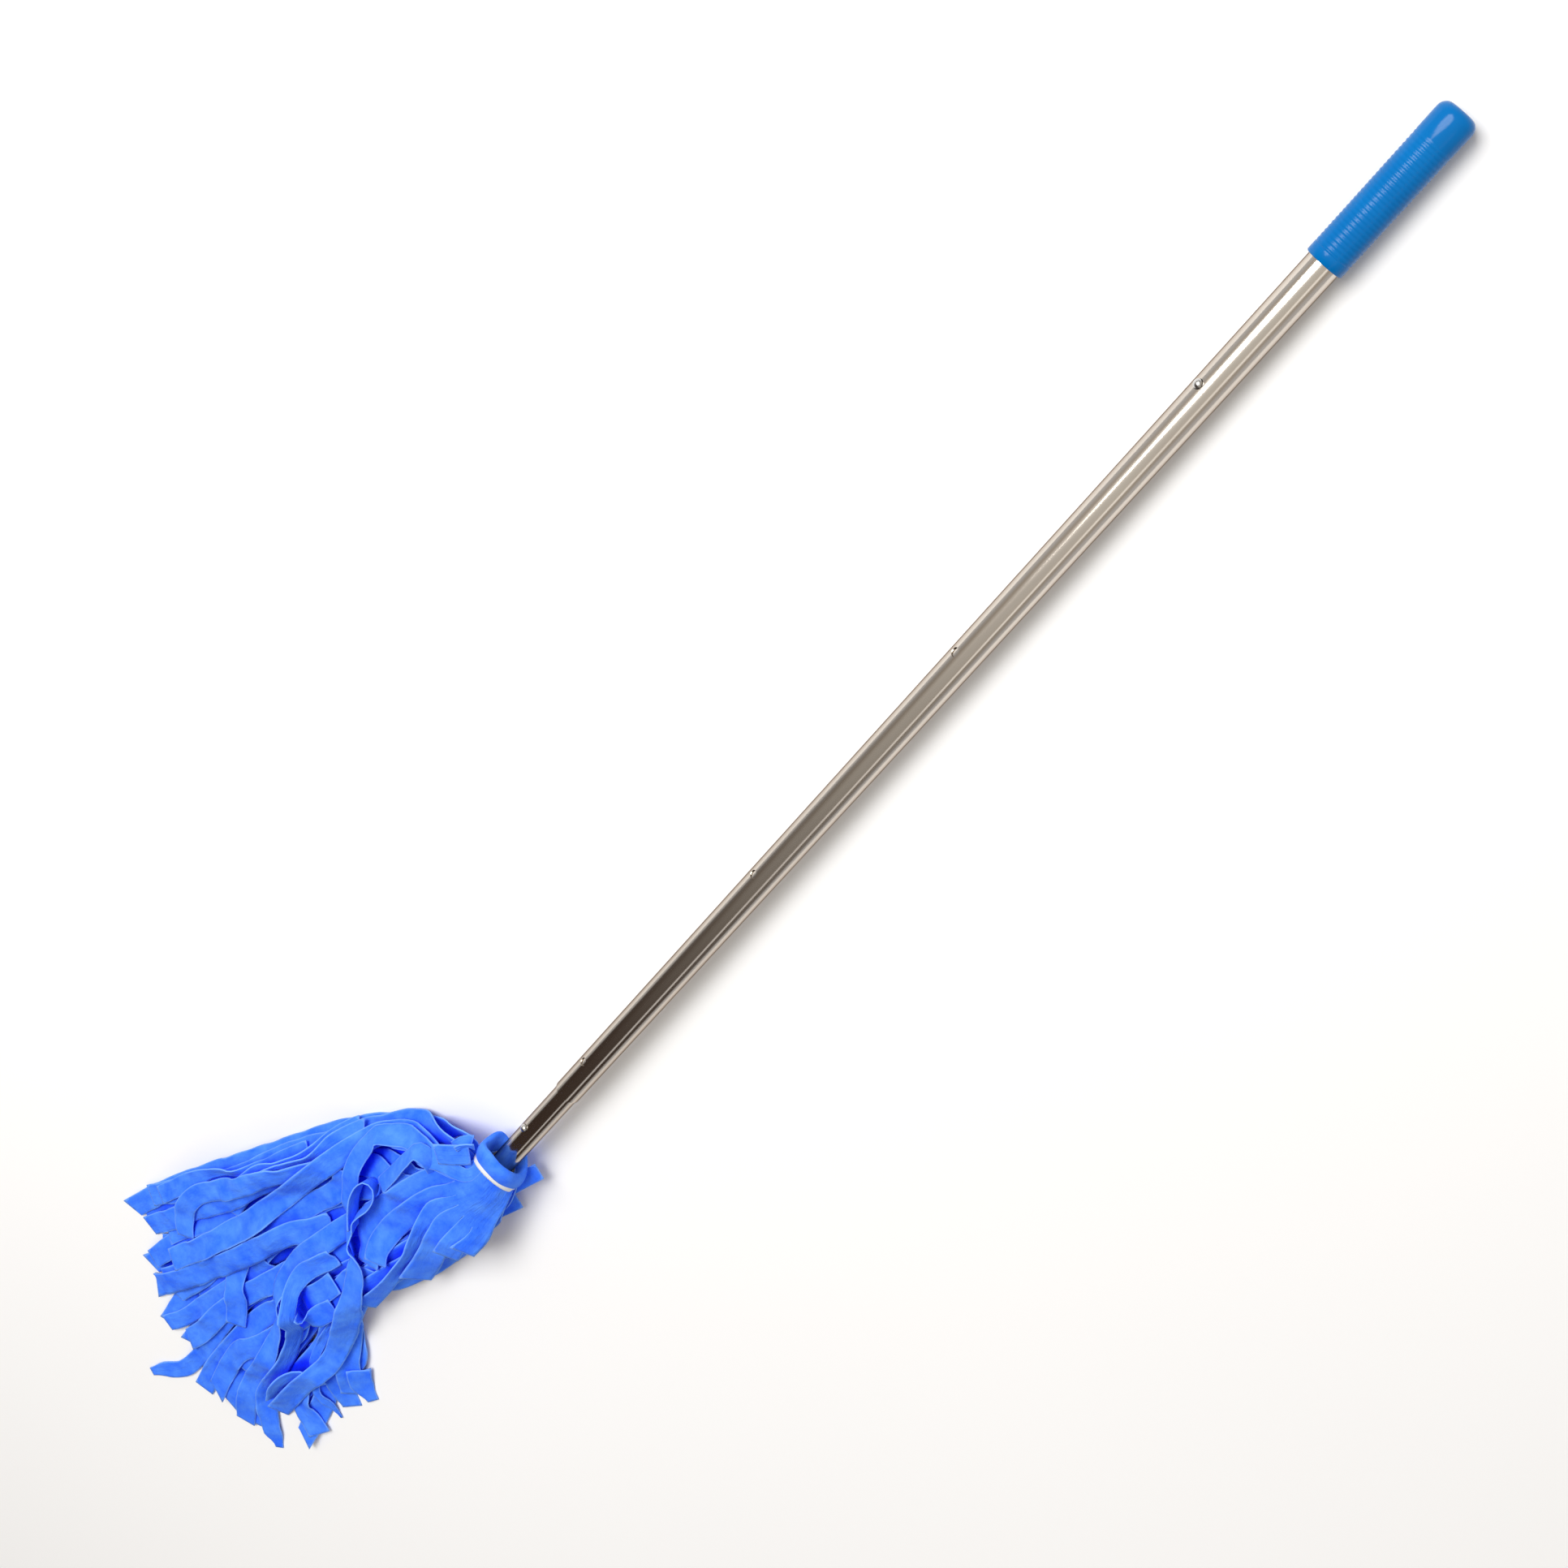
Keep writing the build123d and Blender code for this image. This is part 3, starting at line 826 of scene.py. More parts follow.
@dataclass
class Pile:
    """How high the cloth lies so far over each small square of the floor."""

    low: Pair
    high: Pair
    cell: float = 0.002
    height: np.ndarray = field(init=False)
    # How far round and how deep the painted shade between strips is measured, and how much bare floor
    # nearby fades it out.
    shade_reach: int = 4
    shade_depth: float = 0.008
    open_reach: int = 10
    open_share: float = 0.40
    bare_height: float = 0.001

    def __post_init__(self) -> None:
        """Start with a bare floor."""
        counts = [math.ceil((top - bottom) / self.cell) for bottom, top in zip(self.low, self.high)]
        self.height = np.zeros(counts)

    def _squares(self, places: np.ndarray) -> tuple[np.ndarray, np.ndarray]:
        """Find the squares that hold some places.

        Args:
            places: points whose first two numbers are X and Y.

        Returns:
            The squares' numbers along X and along Y.
        """
        index = ((places[..., :2] - np.array(self.low)) / self.cell).astype(int)
        return (
            np.clip(index[..., 0], 0, self.height.shape[0] - 1),
            np.clip(index[..., 1], 0, self.height.shape[1] - 1),
        )

    def level(self, places: np.ndarray) -> np.ndarray:
        """Find how high the cloth lies.

        Args:
            places: points whose first two numbers are X and Y.

        Returns:
            The highest cloth in and beside the square of each place.
        """
        spread = self.height
        for axis in (0, 1):
            beside = np.maximum(np.roll(spread, 1, axis), np.roll(spread, -1, axis))
            spread = np.maximum(spread, beside)
        return spread[self._squares(places)]

    def crevice_shading(self, places: np.ndarray) -> np.ndarray:
        """Say how much painted shade each place takes for lying deep among its neighbours.

        Args:
            places: points, one row each.

        Returns:
            A number for each, from 0 in the open to 1 for full painted shade deep among the strips.
        """
        squares = self._squares(places)
        deep = self._mean(self.height, self.shade_reach)[squares] - places[:, 2]
        bare = self._mean(self.height < self.bare_height, self.open_reach)[squares]
        return smooth_step(deep / self.shade_depth) * (1.0 - smooth_step(bare / self.open_share))

    @staticmethod
    def _mean(values: np.ndarray, reach: int) -> np.ndarray:
        """Average each square with those round it.

        Args:
            values: a number for each square.
            reach: how many squares count, each way.

        Returns:
            The means.
        """
        for axis in (0, 1):
            shifted = (np.roll(values, shift, axis) for shift in range(-reach, reach + 1))
            values = sum(shifted) / (2 * reach + 1)
        return values

    def cover(self, rows: np.ndarray, thickness: float) -> None:
        """Raise the pile under a strip that has been laid."""
        fine = finer(finer(finer(rows, 0), 1), 1)
        np.maximum.at(self.height, self._squares(fine), fine[..., 2] + thickness)


@dataclass
class Strip:
    """One strip of a sheet before it is laid.

    Attributes:
        route: rows of X, Y, roll in radians and lift over the pile, from the neck to the tip.
        rooted: whether it starts at the neck, gathered, or lies loose from its first point on.
        root_height: its height at the neck.
        width: its cut width.
        ripple: how far its edges lift here and there.
        wave: the height of the slow waves along it.
        phase: where the waves and ripples start.
        slant: how far the tip's cut runs on at one edge.
        taper: the width of the tip as a share of the strip's.
        apart: whether it hangs beside the pile and its lift counts from the floor.
    """

    route: np.ndarray
    rooted: bool
    root_height: float
    width: float
    ripple: float
    wave: float
    phase: float
    slant: float
    taper: float = 1.0
    apart: bool = False


@dataclass
class Layer:
    """Lays strips on the pile one by one."""

    pile: Pile
    step: float = 0.005
    thickness: float = 0.0011
    pressed: float = 0.0009
    floor_clearance: float = 0.0008
    along_slope: float = 0.85
    across_slope: float = 1.0
    root_width: float = 0.009
    gather_length: float = 0.070
    settle_length: float = 0.085
    wave_length: float = 0.085
    ripple_lengths: Pair = (0.047, 0.031)
    ripple_level: float = 0.25
    ripple_swing: float = 0.375
    ripple_shift: float = 2.1
    tip_calm: float = 0.040
    stiffness: float = 0.4
    dent_share: float = 0.6
    drape_rounds: int = 4
    taper_length: float = 0.022
    columns: np.ndarray = field(default_factory=lambda: np.linspace(-1.0, 1.0, 5))

    def lay(self, strip: Strip) -> np.ndarray:
        """Lay one strip on what lies there and raise the pile.

        Args:
            strip: the strip.

        Returns:
            Its points: rows along it, columns across it, and X, Y, Z.
        """
        line = smooth_line(strip.route, self.step)
        middle, roll, lift = line[:, :2], line[:, 2], line[:, 3]
        run = running_length(middle)
        left = run[-1] - run
        ahead = np.gradient(middle, axis=0)
        ahead /= np.maximum(np.linalg.norm(ahead, axis=1, keepdims=True), LEAST_LENGTH)
        aside = np.stack([-ahead[:, 1], ahead[:, 0]], axis=1)
        free = smooth_step(run / self.gather_length) if strip.rooted else np.ones_like(run)
        tip = 1.0 - (1.0 - strip.taper) * smooth_step(1.0 - left / self.taper_length)
        half = 0.5 * (self.root_width + (strip.width - self.root_width) * free) * tip
        offset = half[:, None] * self.columns
        flat = middle[:, None, :] + aside[:, None, :] * (offset * np.cos(roll)[:, None])[..., None]
        flat[-1] += ahead[-1] * (self.columns * strip.slant)[:, None]
        tilt = offset * np.sin(roll)[:, None]
        stand = np.abs(np.sin(roll))[:, None]
        need = np.full(offset.shape, self.floor_clearance)
        if not strip.apart:
            need = np.maximum(self.pile.level(flat) + 0.5 * self.pressed, need)
        carried = (need - tilt) * (1.0 - stand) + (need - tilt).max(axis=1, keepdims=True) * stand
        height = self._flattened(self._draped(carried, half), left) + tilt + lift[:, None]
        swing = 0.5 * strip.wave * (1.0 + np.sin(run / self.wave_length * math.tau + strip.phase))
        calm = free * smooth_step(left / self.tip_calm)
        height = height + swing[:, None] * free[:, None] + self._ripples(strip, run) * calm[:, None]
        if strip.rooted:
            hung = smooth_step(run / self.settle_length)[:, None]
            height = height * hung + (strip.root_height + tilt) * (1.0 - hung)
        rows = np.concatenate([flat, height[..., None]], axis=2)
        if not strip.apart:
            self.pile.cover(rows, 0.5 * self.pressed)
        return rows

    def _ripples(self, strip: Strip, run: np.ndarray) -> np.ndarray:
        """Lift the two edges of a strip here and there.

        Args:
            strip: the strip.
            run: the distance of each row from the strip's start.

        Returns:
            The lift of each point.
        """
        lift = np.zeros((len(run), len(self.columns)))
        for side, shift in ((-1.0, 0.0), (1.0, self.ripple_shift)):
            beat = sum(
                np.sin(run / length * math.tau + (2.0 + order) * strip.phase + shift)
                for order, length in enumerate(self.ripple_lengths)
            )
            edge = np.clip(side * self.columns, 0.0, 1.0) ** 2
            share = smooth_step(self.ripple_level + self.ripple_swing * beat)
            lift += strip.ripple * share[:, None] * edge
        return lift

    def _draped(self, need: np.ndarray, half: np.ndarray) -> np.ndarray:
        """Bridge steps in what a strip lies on, as stiff cloth does.

        Args:
            need: the lowest height that each point may have.
            half: half the strip's width at each row.

        Returns:
            Heights that fall off no more steeply than the cloth's slopes, smoothed.
        """
        height = need.copy()
        self._bridge(height, self.along_slope * self.step)
        self._bridge(height.T, self.across_slope * half * 2.0 / (len(self.columns) - 1))
        for _ in range(self.drape_rounds):
            height = np.maximum(need, self._softened(height))
        return self._softened(height)

    @staticmethod
    def _bridge(height: np.ndarray, drop: float | np.ndarray) -> None:
        """Raise each row until it lies no more than a drop below its neighbours.

        Args:
            height: the heights, which are changed.
            drop: how far a row may lie below the next one.
        """
        for rows in (height, height[::-1]):
            for row in range(1, len(rows)):
                rows[row] = np.maximum(rows[row], rows[row - 1] - drop)

    def _flattened(self, height: np.ndarray, left: np.ndarray) -> np.ndarray:
        """Take dents out of a strip across its width, and all of them at the tip.

        Args:
            height: the height of each point.
            left: the distance of each row from the tip.

        Returns:
            The new heights.
        """
        middle = height.mean(axis=1, keepdims=True)
        tilt = (height * self.columns).sum(axis=1, keepdims=True) / (self.columns**2).sum()
        level = middle + tilt * self.columns
        level += self.dent_share * (height - level).max(axis=1, keepdims=True)
        stiff = self.stiffness + (1.0 - self.stiffness) * smooth_step(1.0 - left / self.tip_calm)
        return height + (level - height) * stiff[:, None]

    @staticmethod
    def _softened(height: np.ndarray) -> np.ndarray:
        """Average each row with its neighbours, which count half as much."""
        padded = np.pad(height, ((1, 1), (0, 0)), mode="edge")
        return 0.25 * padded[:-2] + 0.5 * padded[1:-1] + 0.25 * padded[2:]


@dataclass
class Fan:
    """The fan that the head makes on the floor, from its right edge to its left, seen from the neck."""

    neck: Neck
    right_edge: tuple[Pair, ...] = (
        (-0.055, -0.028), (-0.150, -0.010), (-0.255, 0.013), (-0.340, -0.032), (-0.440, -0.056),
    )
    left_edge: tuple[Pair, ...] = (
        (-0.040, 0.053), (-0.112, 0.103), (-0.228, 0.167), (-0.366, 0.224),
    )
    edge_step: float = 0.004
    bulge: float = 0.100

    def __post_init__(self) -> None:
        """Sample the two edges."""
        edges = (self.right_edge, self.left_edge)
        self.edges = [smooth_line(np.array(edge), self.edge_step) for edge in edges]

    def point(self, across: float, along: float) -> np.ndarray:
        """Give a place in the fan.

        Args:
            across: 0 at the right edge, 1 at the left edge.
            along: 0 at the neck, 1 at the tips.

        Returns:
            X and Y in the frame.
        """
        ends = []
        for edge in self.edges:
            at = np.linspace(0.0, 1.0, len(edge))
            ends.append(np.array([np.interp(along, at, edge[:, axis]) for axis in (0, 1)]))
        place = ends[0] * (1.0 - across) + ends[1] * across
        place[0] -= self.bulge * math.sin(math.pi * across) * along**2
        return place + np.array(self.neck.middle[:2])


@dataclass(frozen=True)
class Trace:
    """A strip of the photograph.

    Attributes:
        name: what the strip is called here.
        sheet: the number of the sheet that it is cut from.
        points: the pixels of its middle line, each with its roll in degrees and its lift in
            millimetres, which are 0 where they are left out.
        across: where it leaves the neck, 0 at the right and 1 at the left, or None for a strip whose
            inner end lies hidden under others.
        width: its cut width.
        ripple: how far its edges lift here and there.
        slant: how far the tip's cut runs on at one edge.
        taper: the width of the tip as a share of the strip's.
        apart: whether it hangs beside the pile and its lift counts from the floor.
    """

    name: str
    sheet: int
    points: tuple[tuple[float, ...], ...]
    across: float | None = None
    width: float = 0.021
    ripple: float = 0.0022
    slant: float = 0.0
    taper: float = 1.0
    apart: bool = False


SKIRT = ("skirt_6", "skirt_5", "skirt_4", "skirt_3", "skirt_2", "skirt_1")

TRACES = (
    # Strips that fan to the lower left, seen in part between those above them.
    Trace("far_point", 5, (
        (340, 1580), (300, 1604), (263, 1647), (244, 1673), (225, 1687), (201, 1688), (187, 1690),
    ), width=0.018, taper=0.5),
    Trace("far_tongue", 5, (
        (330, 1560), (290, 1582), (255, 1605), (225, 1625), (205, 1631),
    ), width=0.018),
    Trace("low_left_1", 5, (
        (350, 1570), (300, 1597), (270, 1620), (250, 1640), (236, 1648),
    ), 0.62, slant=0.004),
    Trace("low_left_2", 5, ((370, 1600), (320, 1625), (290, 1655), (269, 1680), (251, 1711)), 0.55),
    Trace("low_left_3", 5, (
        (400, 1600), (350, 1640), (327, 1655), (295, 1667), (280, 1687), (267, 1714),
    ), 0.40, slant=0.007),
    Trace("low_right_1", 6, (
        (452, 1575), (420, 1640), (405, 1690), (411, 1699), (418, 1711), (434, 1733),
    ), 0.18),
    Trace("low_right_2", 5, (
        (440, 1590), (400, 1660), (368, 1715), (372, 1732), (383, 1750), (392, 1769),
    ), 0.25, width=0.024),
    Trace("low_right_point", 5, (
        (425, 1610), (385, 1690), (390, 1718), (407, 1732), (421, 1747),
    ), width=0.009, taper=0.2),
    # Strips under the hook and the outline, seen between their tips.
    Trace("under_hook", 5, ((380, 1465), (330, 1478), (280, 1494), (240, 1508), (206, 1521)), 0.78),
    Trace("under_outline", 5, ((400, 1432), (330, 1454), (265, 1471), (218, 1486), (180, 1497)), 0.88),
    # The strip that lies flat along the right edge, under the skirt.
    Trace("right_edge", 6, (
        (556, 1541), (516, 1566), (488, 1573), (447, 1572), (420, 1590), (400, 1625),
    ), 0.05),
    # The back of the left side, from the outline inwards.
    Trace("outline", 6, (
        (577, 1415), (527, 1387), (477, 1384), (417, 1406), (354, 1417), (292, 1437), (237, 1454),
        (197, 1470), (163, 1489),
    ), 0.98, slant=-0.004),
    Trace("behind_peak", 6, (
        (570, 1420), (520, 1390), (460, 1392), (400, 1414), (340, 1432), (290, 1452), (239, 1464),
        (186, 1473),
    ), 0.90),
    Trace("narrow_arch", 6, (
        (380, 1418), (345, 1433), (320, 1443), (302, 1448, -30), (290, 1448, -42), (271, 1445, -48),
        (256, 1447, -42), (239, 1452, -30), (216, 1464, -12), (198, 1472),
    ), width=0.017),
    Trace("narrow_fold_1", 6, (
        (440, 1392), (412, 1401, -25), (395, 1413, -40), (375, 1425, -45), (345, 1437, -40),
        (315, 1446, -30), (303, 1456, -25), (290, 1470),
    ), width=0.017),
    Trace("narrow_fold_2", 6, (
        (445, 1397), (412, 1407, -20), (394, 1423, -40), (382, 1431, -50), (352, 1441, -40),
        (325, 1450, -40), (308, 1463, -35), (293, 1481, -30), (285, 1492),
    ), width=0.017),
    Trace("upper_left", 7, (
        (440, 1425), (380, 1443), (320, 1463), (270, 1484), (239, 1493), (211, 1504), (184, 1511),
    )),
    Trace("hook", 7, (
        (420, 1432), (365, 1448), (320, 1456), (297, 1464), (265, 1468), (242, 1473), (229, 1486),
        (227, 1505), (229, 1524),
    ), width=0.020),
    Trace("upright", 6, (
        (345, 1512), (318, 1530), (297, 1551), (291, 1575), (291, 1600), (290, 1633),
    ), width=0.020),
    Trace("left_long", 7, (
        (427, 1446), (424, 1458), (411, 1470), (387, 1482), (365, 1495), (345, 1510), (316, 1527),
        (278, 1546), (240, 1561), (206, 1572),
    ), slant=0.004),
    Trace("left_broad", 7, (
        (410, 1508), (381, 1514, 0, 1), (355, 1522, 0, 3), (330, 1535, 0, 3), (307, 1545, 0, 1),
        (269, 1561), (231, 1575), (194, 1583),
    ), width=0.024, slant=0.008),
    # The folded ends below the middle, and the strips that stand on edge beside them.
    Trace("folded_end_2", 7, ((372, 1602), (398, 1590), (413, 1580))),
    Trace("folded_end_3", 7, (
        (364, 1622, 70, 4), (372, 1629, 55, 3), (381, 1628, 30, 2), (396, 1620), (412, 1612),
    ), slant=0.003),
    Trace("edgewise_left", 7, (
        (405, 1528), (378, 1545), (354, 1573, 15), (341, 1591, 40), (338, 1606, 56), (340, 1627, 56),
        (336, 1652, 40), (324, 1680, 22), (309, 1708, 10), (303, 1750),
    ), 0.5),
    Trace("edgewise_right", 7, (
        (413, 1548), (388, 1561), (368, 1576, -20), (361, 1592, -48), (362, 1610, -60),
        (364, 1628, -64), (360, 1652, -62), (350, 1680, -52), (338, 1698, -35), (328, 1720, -12),
        (330, 1747), (344, 1784),
    ), width=0.019, taper=0.45),
    Trace("low_loop", 7, (
        (338, 1724, 60), (340, 1711, 55, 3), (352, 1701, 45, 5), (372, 1699, 30, 4), (392, 1709, 10),
    )),
    Trace("low_bundle_1", 7, ((431, 1625), (428, 1662), (431, 1690), (434, 1718)), 0.12),
    Trace("low_bundle_2", 7, ((440, 1690), (449, 1712), (460, 1726)), width=0.020, taper=0.6),
    # The skirt below the tape and the strips that it is slit into, from left to right.
    Trace("skirt_1", 8, (
        (550, 1444), (509, 1466), (477, 1486), (456, 1503), (451, 1519, 8), (455, 1539), (452, 1560),
    ), 0.80, width=0.023),
    Trace("skirt_2", 8, (
        (526, 1480), (501, 1497), (481, 1516), (469, 1536), (461, 1558),
    ), 0.66, width=0.023),
    Trace("skirt_3", 8, (
        (540, 1488, -10), (518, 1519, -45), (506, 1545, -60), (493, 1562, -62), (470, 1591, -50),
        (446, 1613, -30),
    ), 0.54, width=0.020),
    Trace("skirt_4", 8, ((555, 1502), (542, 1525), (532, 1547), (518, 1568)), 0.42, width=0.023),
    Trace("skirt_5", 8, ((576, 1503), (564, 1524), (551, 1545)), 0.30, width=0.022),
    Trace("skirt_6", 8, ((594, 1508), (582, 1528), (570, 1540)), 0.16, width=0.022),
    # The ends that stick out at the right of the neck.
    Trace("stub_upper", 8, (
        (622, 1466, 0, 24), (644, 1454, 0, 20), (664, 1444, 0, 15),
    ), width=0.015, ripple=0.0, apart=True),
    Trace("stub_lower", 8, (
        (604, 1496, 0, 14), (622, 1488, 0, 12), (639, 1480, 0, 8),
    ), width=0.014, ripple=0.0, apart=True),
    # The strips over the left side that rise to a peak and fall away from it.
    Trace("peak_left", 8, (
        (540, 1412), (500, 1400), (470, 1396, -10, 3), (460, 1399, -10, 3), (445, 1409), (412, 1429),
        (381, 1451), (355, 1471), (330, 1489), (303, 1507), (271, 1525), (239, 1541), (212, 1552),
    ), 0.80),
    Trace("peak_right", 8, (
        (548, 1424), (505, 1409, 40), (474, 1399, 52, 3), (463, 1399, 58, 5), (454, 1409, 48, 3),
        (438, 1432, 38), (430, 1455, 34), (430, 1490, 36), (427, 1515, 52), (426, 1535, 60),
        (431, 1560, 40), (432, 1590, 12), (427, 1625), (418, 1655), (405, 1681), (378, 1703),
        (345, 1735),
    ), 0.72),
    # The standing loops beside the skirt.
    Trace("arch", 8, (
        (541, 1456, 10, 33), (535, 1444, 45, 36), (527, 1430, 62, 38), (513, 1420, 62, 40),
        (499, 1430, 60, 39), (484, 1446, 52, 36), (467, 1463, 45, 31),
    ), width=0.018, ripple=0.0, apart=True),
    Trace("teardrop", 8, (
        (434, 1514, 78, 30), (434, 1495, 78, 30), (438, 1469, 78, 31), (444, 1459, 78, 31),
        (453, 1455, 78, 31), (460, 1460, 78, 31), (462, 1470, 78, 31), (455, 1486, 78, 31),
        (443, 1495, 78, 31), (436, 1503, 78, 30), (436, 1516, 78, 30),
    ), width=0.014, ripple=0.0, apart=True),
    # The short square end left of the skirt, and the crumple above it.
    Trace("crumple_1", 8, (
        (582, 1407, 35, 36), (570, 1407, 55, 38), (556, 1412, 30, 38),
    ), width=0.012, taper=0.5, ripple=0.0, apart=True),
    Trace("square_end", 8, (
        (578, 1424, 0, 44), (556, 1424, 0, 47), (536, 1423, 0, 46),
    ), width=0.019, ripple=0.0, apart=True),
    Trace("crumple_2", 8, (
        (584, 1414, -35, 40), (572, 1413, -50, 42), (560, 1417, -20, 46),
    ), width=0.011, taper=0.5, ripple=0.0, apart=True),
)


@dataclass
class Head:
    """The chamois head: eight slit sheets, laid from the floor up, with the photographed strips on top."""

    neck: Neck
    camera: PhotoCamera
    finish: bpy.types.Material
    floor_margin: float = 0.06
    neck_margin: float = 0.08
    ring_radii: tuple[float, ...] = (0.0188, 0.0172, 0.0156, 0.0140)
    tape_reach: float = 0.004
    root_run: float = 0.024
    root_share: float = 0.35
    root_lean: float = 0.85
    root_spread: float = 0.2
    root_unroll: float = 0.3
    sheets: int = 8
    plain_sheets: int = 4
    lanes: int = 7
    lane_start: float = 0.25
    lane_shift: float = 0.5
    lane_shares: tuple[float, ...] = (0.16, 0.32, 0.50, 0.68, 0.85, 1.0)
    lane_reach: Pair = (0.78, 1.0)
    lane_wander: float = 0.024
    lane_roll_degrees: float = 30.0
    lane_width: Pair = (0.020, 0.023)
    lane_ripple: Pair = (0.001, 0.004)
    lane_wave: float = 0.003
    lane_slant: float = 0.006
    trace_start_level: float = 0.02
    trace_clearance: float = 0.002
    trace_rounds: int = 3
    trace_wave: float = 0.002
    slit_start: float = 0.055
    slit_ease: float = 0.030
    skirt_slits: tuple[float, ...] = (0.058, 0.054, 0.048, 0.042, 0.036)
    pattern_pitch: float = 0.731

    def __post_init__(self) -> None:
        """Set the floor out and start the random draws."""
        low, high = CAD_BOX
        margin = self.floor_margin
        self.pile = Pile(
            (low[0] - margin, low[1] - margin),
            (self.neck.middle.x + self.neck_margin, high[1] + margin),
        )
        self.layer = Layer(self.pile)
        self.fan = Fan(self.neck)
        self.draw = random.Random(SEED)

    def build(self) -> None:
        """Lay all strips from the floor up and make the sheets."""
        numbers = range(1, self.sheets + 1)
        strips = {number: [] for number in numbers}
        laid = {number: [] for number in numbers}
        for number in range(1, self.plain_sheets + 1):
            for lane in range(self.lanes):
                across = (lane + self.lane_start + self.lane_shift * (number % 2)) / self.lanes
                strip = self._lane(across, self.ring_radii[number - 1])
                strips[number].append(strip)
                laid[number].append(self.layer.lay(strip))
            self._join(laid[number], (self.slit_start,) * self.lanes)
        traced = {}
        for trace in TRACES:
            strip = self._traced(trace)
            strips[trace.sheet].append(strip)
            traced[trace.name] = self.layer.lay(strip)
            laid[trace.sheet].append(traced[trace.name])
        self._join([traced[name] for name in SKIRT], self.skirt_slits)
        for number in numbers:
            self._sheet(number, strips[number], laid[number])
        log.info("pile: %.1f mm high", self.pile.height.max() / MILLIMETRE)

    def _root(
        self, across: float, radius: float, upper: bool, run: float
    ) -> tuple[list[np.ndarray], float]:
        """Find where a strip leaves the tape.

        Args:
            across: 0 at the right and 1 at the left of the neck.
            radius: the radius of its ring in the binding.
            upper: whether it is in the upper half of the ring.
            run: how far it runs straight on.

        Returns:
            The first rows of its route, and its height at the neck.
        """
        turn = math.pi * across
        side = 1.0 if upper else -1.0
        lean = self.root_lean * side * (turn - 0.5 * math.pi)
        start = np.array((*self.neck.middle[:2], 0.0, 0.0))
        start += np.array((self.tape_reach, -radius * math.cos(turn), lean, 0.0))
        spread = self.root_spread * radius * math.cos(turn)
        after = start + np.array((-run, -spread, -self.root_unroll * lean, 0.0))
        return [start, after], self.neck.middle.z + side * radius * math.sin(turn)

    def _lane(self, across: float, radius: float) -> Strip:
        """Draw a strip that leaves the lower half of the neck and follows the fan with small wanderings.

        Args:
            across: its place in the fan.
            radius: the radius of its ring in the binding.

        Returns:
            The strip.
        """
        draw = self.draw
        route, height = self._root(across, radius, False, self.root_run)
        reach = draw.uniform(*self.lane_reach)
        for share in self.lane_shares:
            stray = self.lane_wander * share
            x, y = self.fan.point(across, share * reach)
            roll = math.radians(draw.uniform(-self.lane_roll_degrees, self.lane_roll_degrees)) * share
            x += draw.uniform(-stray, stray)
            y += draw.uniform(-stray, stray)
            route.append(np.array((x, y, roll, 0.0)))
        return Strip(
            np.array(route), True, height,
            width=draw.uniform(*self.lane_width),
            ripple=draw.uniform(*self.lane_ripple),
            wave=draw.uniform(0.0, self.lane_wave),
            phase=draw.uniform(0.0, math.tau),
            slant=draw.uniform(-self.lane_slant, self.lane_slant),
        )

    def _traced(self, trace: Trace) -> Strip:
        """Set a photographed strip on the pile.

        Args:
            trace: the strip's pixels.

        Returns:
            The strip, whose pixels are found again at the height of what lies under them.
        """
        points = np.array([(*point, 0.0, 0.0)[:4] for point in trace.points])
        roll = np.radians(points[:, 2])
        lift = MILLIMETRE * points[:, 3]
        over = self.trace_clearance + lift + 0.5 * trace.width * np.abs(np.sin(roll))
        levels = np.full(len(points), self.trace_start_level)
        for _ in range(self.trace_rounds):
            places = self.camera.on_levels(points[:, :2], levels)
            levels = over if trace.apart else self.pile.level(places) + over
        route = list(np.column_stack([places, roll, lift]))
        rooted = trace.across is not None
        height = 0.0
        if rooted:
            ring = self.ring_radii[self.sheets - trace.sheet]
            away = float(np.hypot(*(places[0] - np.array(self.neck.middle[:2]))))
            run = min(self.root_run, self.root_share * away)
            root, height = self._root(trace.across, ring, True, run)
            route = root + route
        return Strip(
            np.array(route), rooted, height,
            width=trace.width,
            ripple=trace.ripple,
            wave=self.draw.uniform(0.0, self.trace_wave),
            phase=self.draw.uniform(0.0, math.tau),
            slant=trace.slant,
            taper=trace.taper,
            apart=trace.apart,
        )

    def _join(self, laid: list[np.ndarray], slits: tuple[float, ...]) -> None:
        """Join neighbouring strips where their sheet is not slit yet.

        Args:
            laid: the points of the strips, from right to left; they are moved.
            slits: how far from the tape the slit between each two neighbours starts.
        """
        middles = [rows[:, rows.shape[1] // 2].copy() for rows in laid]
        for number, rows in enumerate(laid):
            whole = np.zeros(rows.shape[:2])
            target = rows.copy()
            for other, edge, inner in ((number + 1, 0, 1), (number - 1, -1, -2)):
                if not 0 <= other < len(laid):
                    continue
                shared = min(len(rows), len(middles[other]))
                seam = 0.5 * (middles[number][:shared] + middles[other][:shared])
                target[:shared, edge] = seam
                target[:shared, inner] = 0.5 * (seam + middles[number][:shared])
                run = np.arange(shared) * self.layer.step - slits[min(number, other)]
                held = 1.0 - smooth_step(run / self.slit_ease)
                whole[:shared, edge] = held
                whole[:shared, inner] = held
            rows += (target - rows) * whole[..., None]

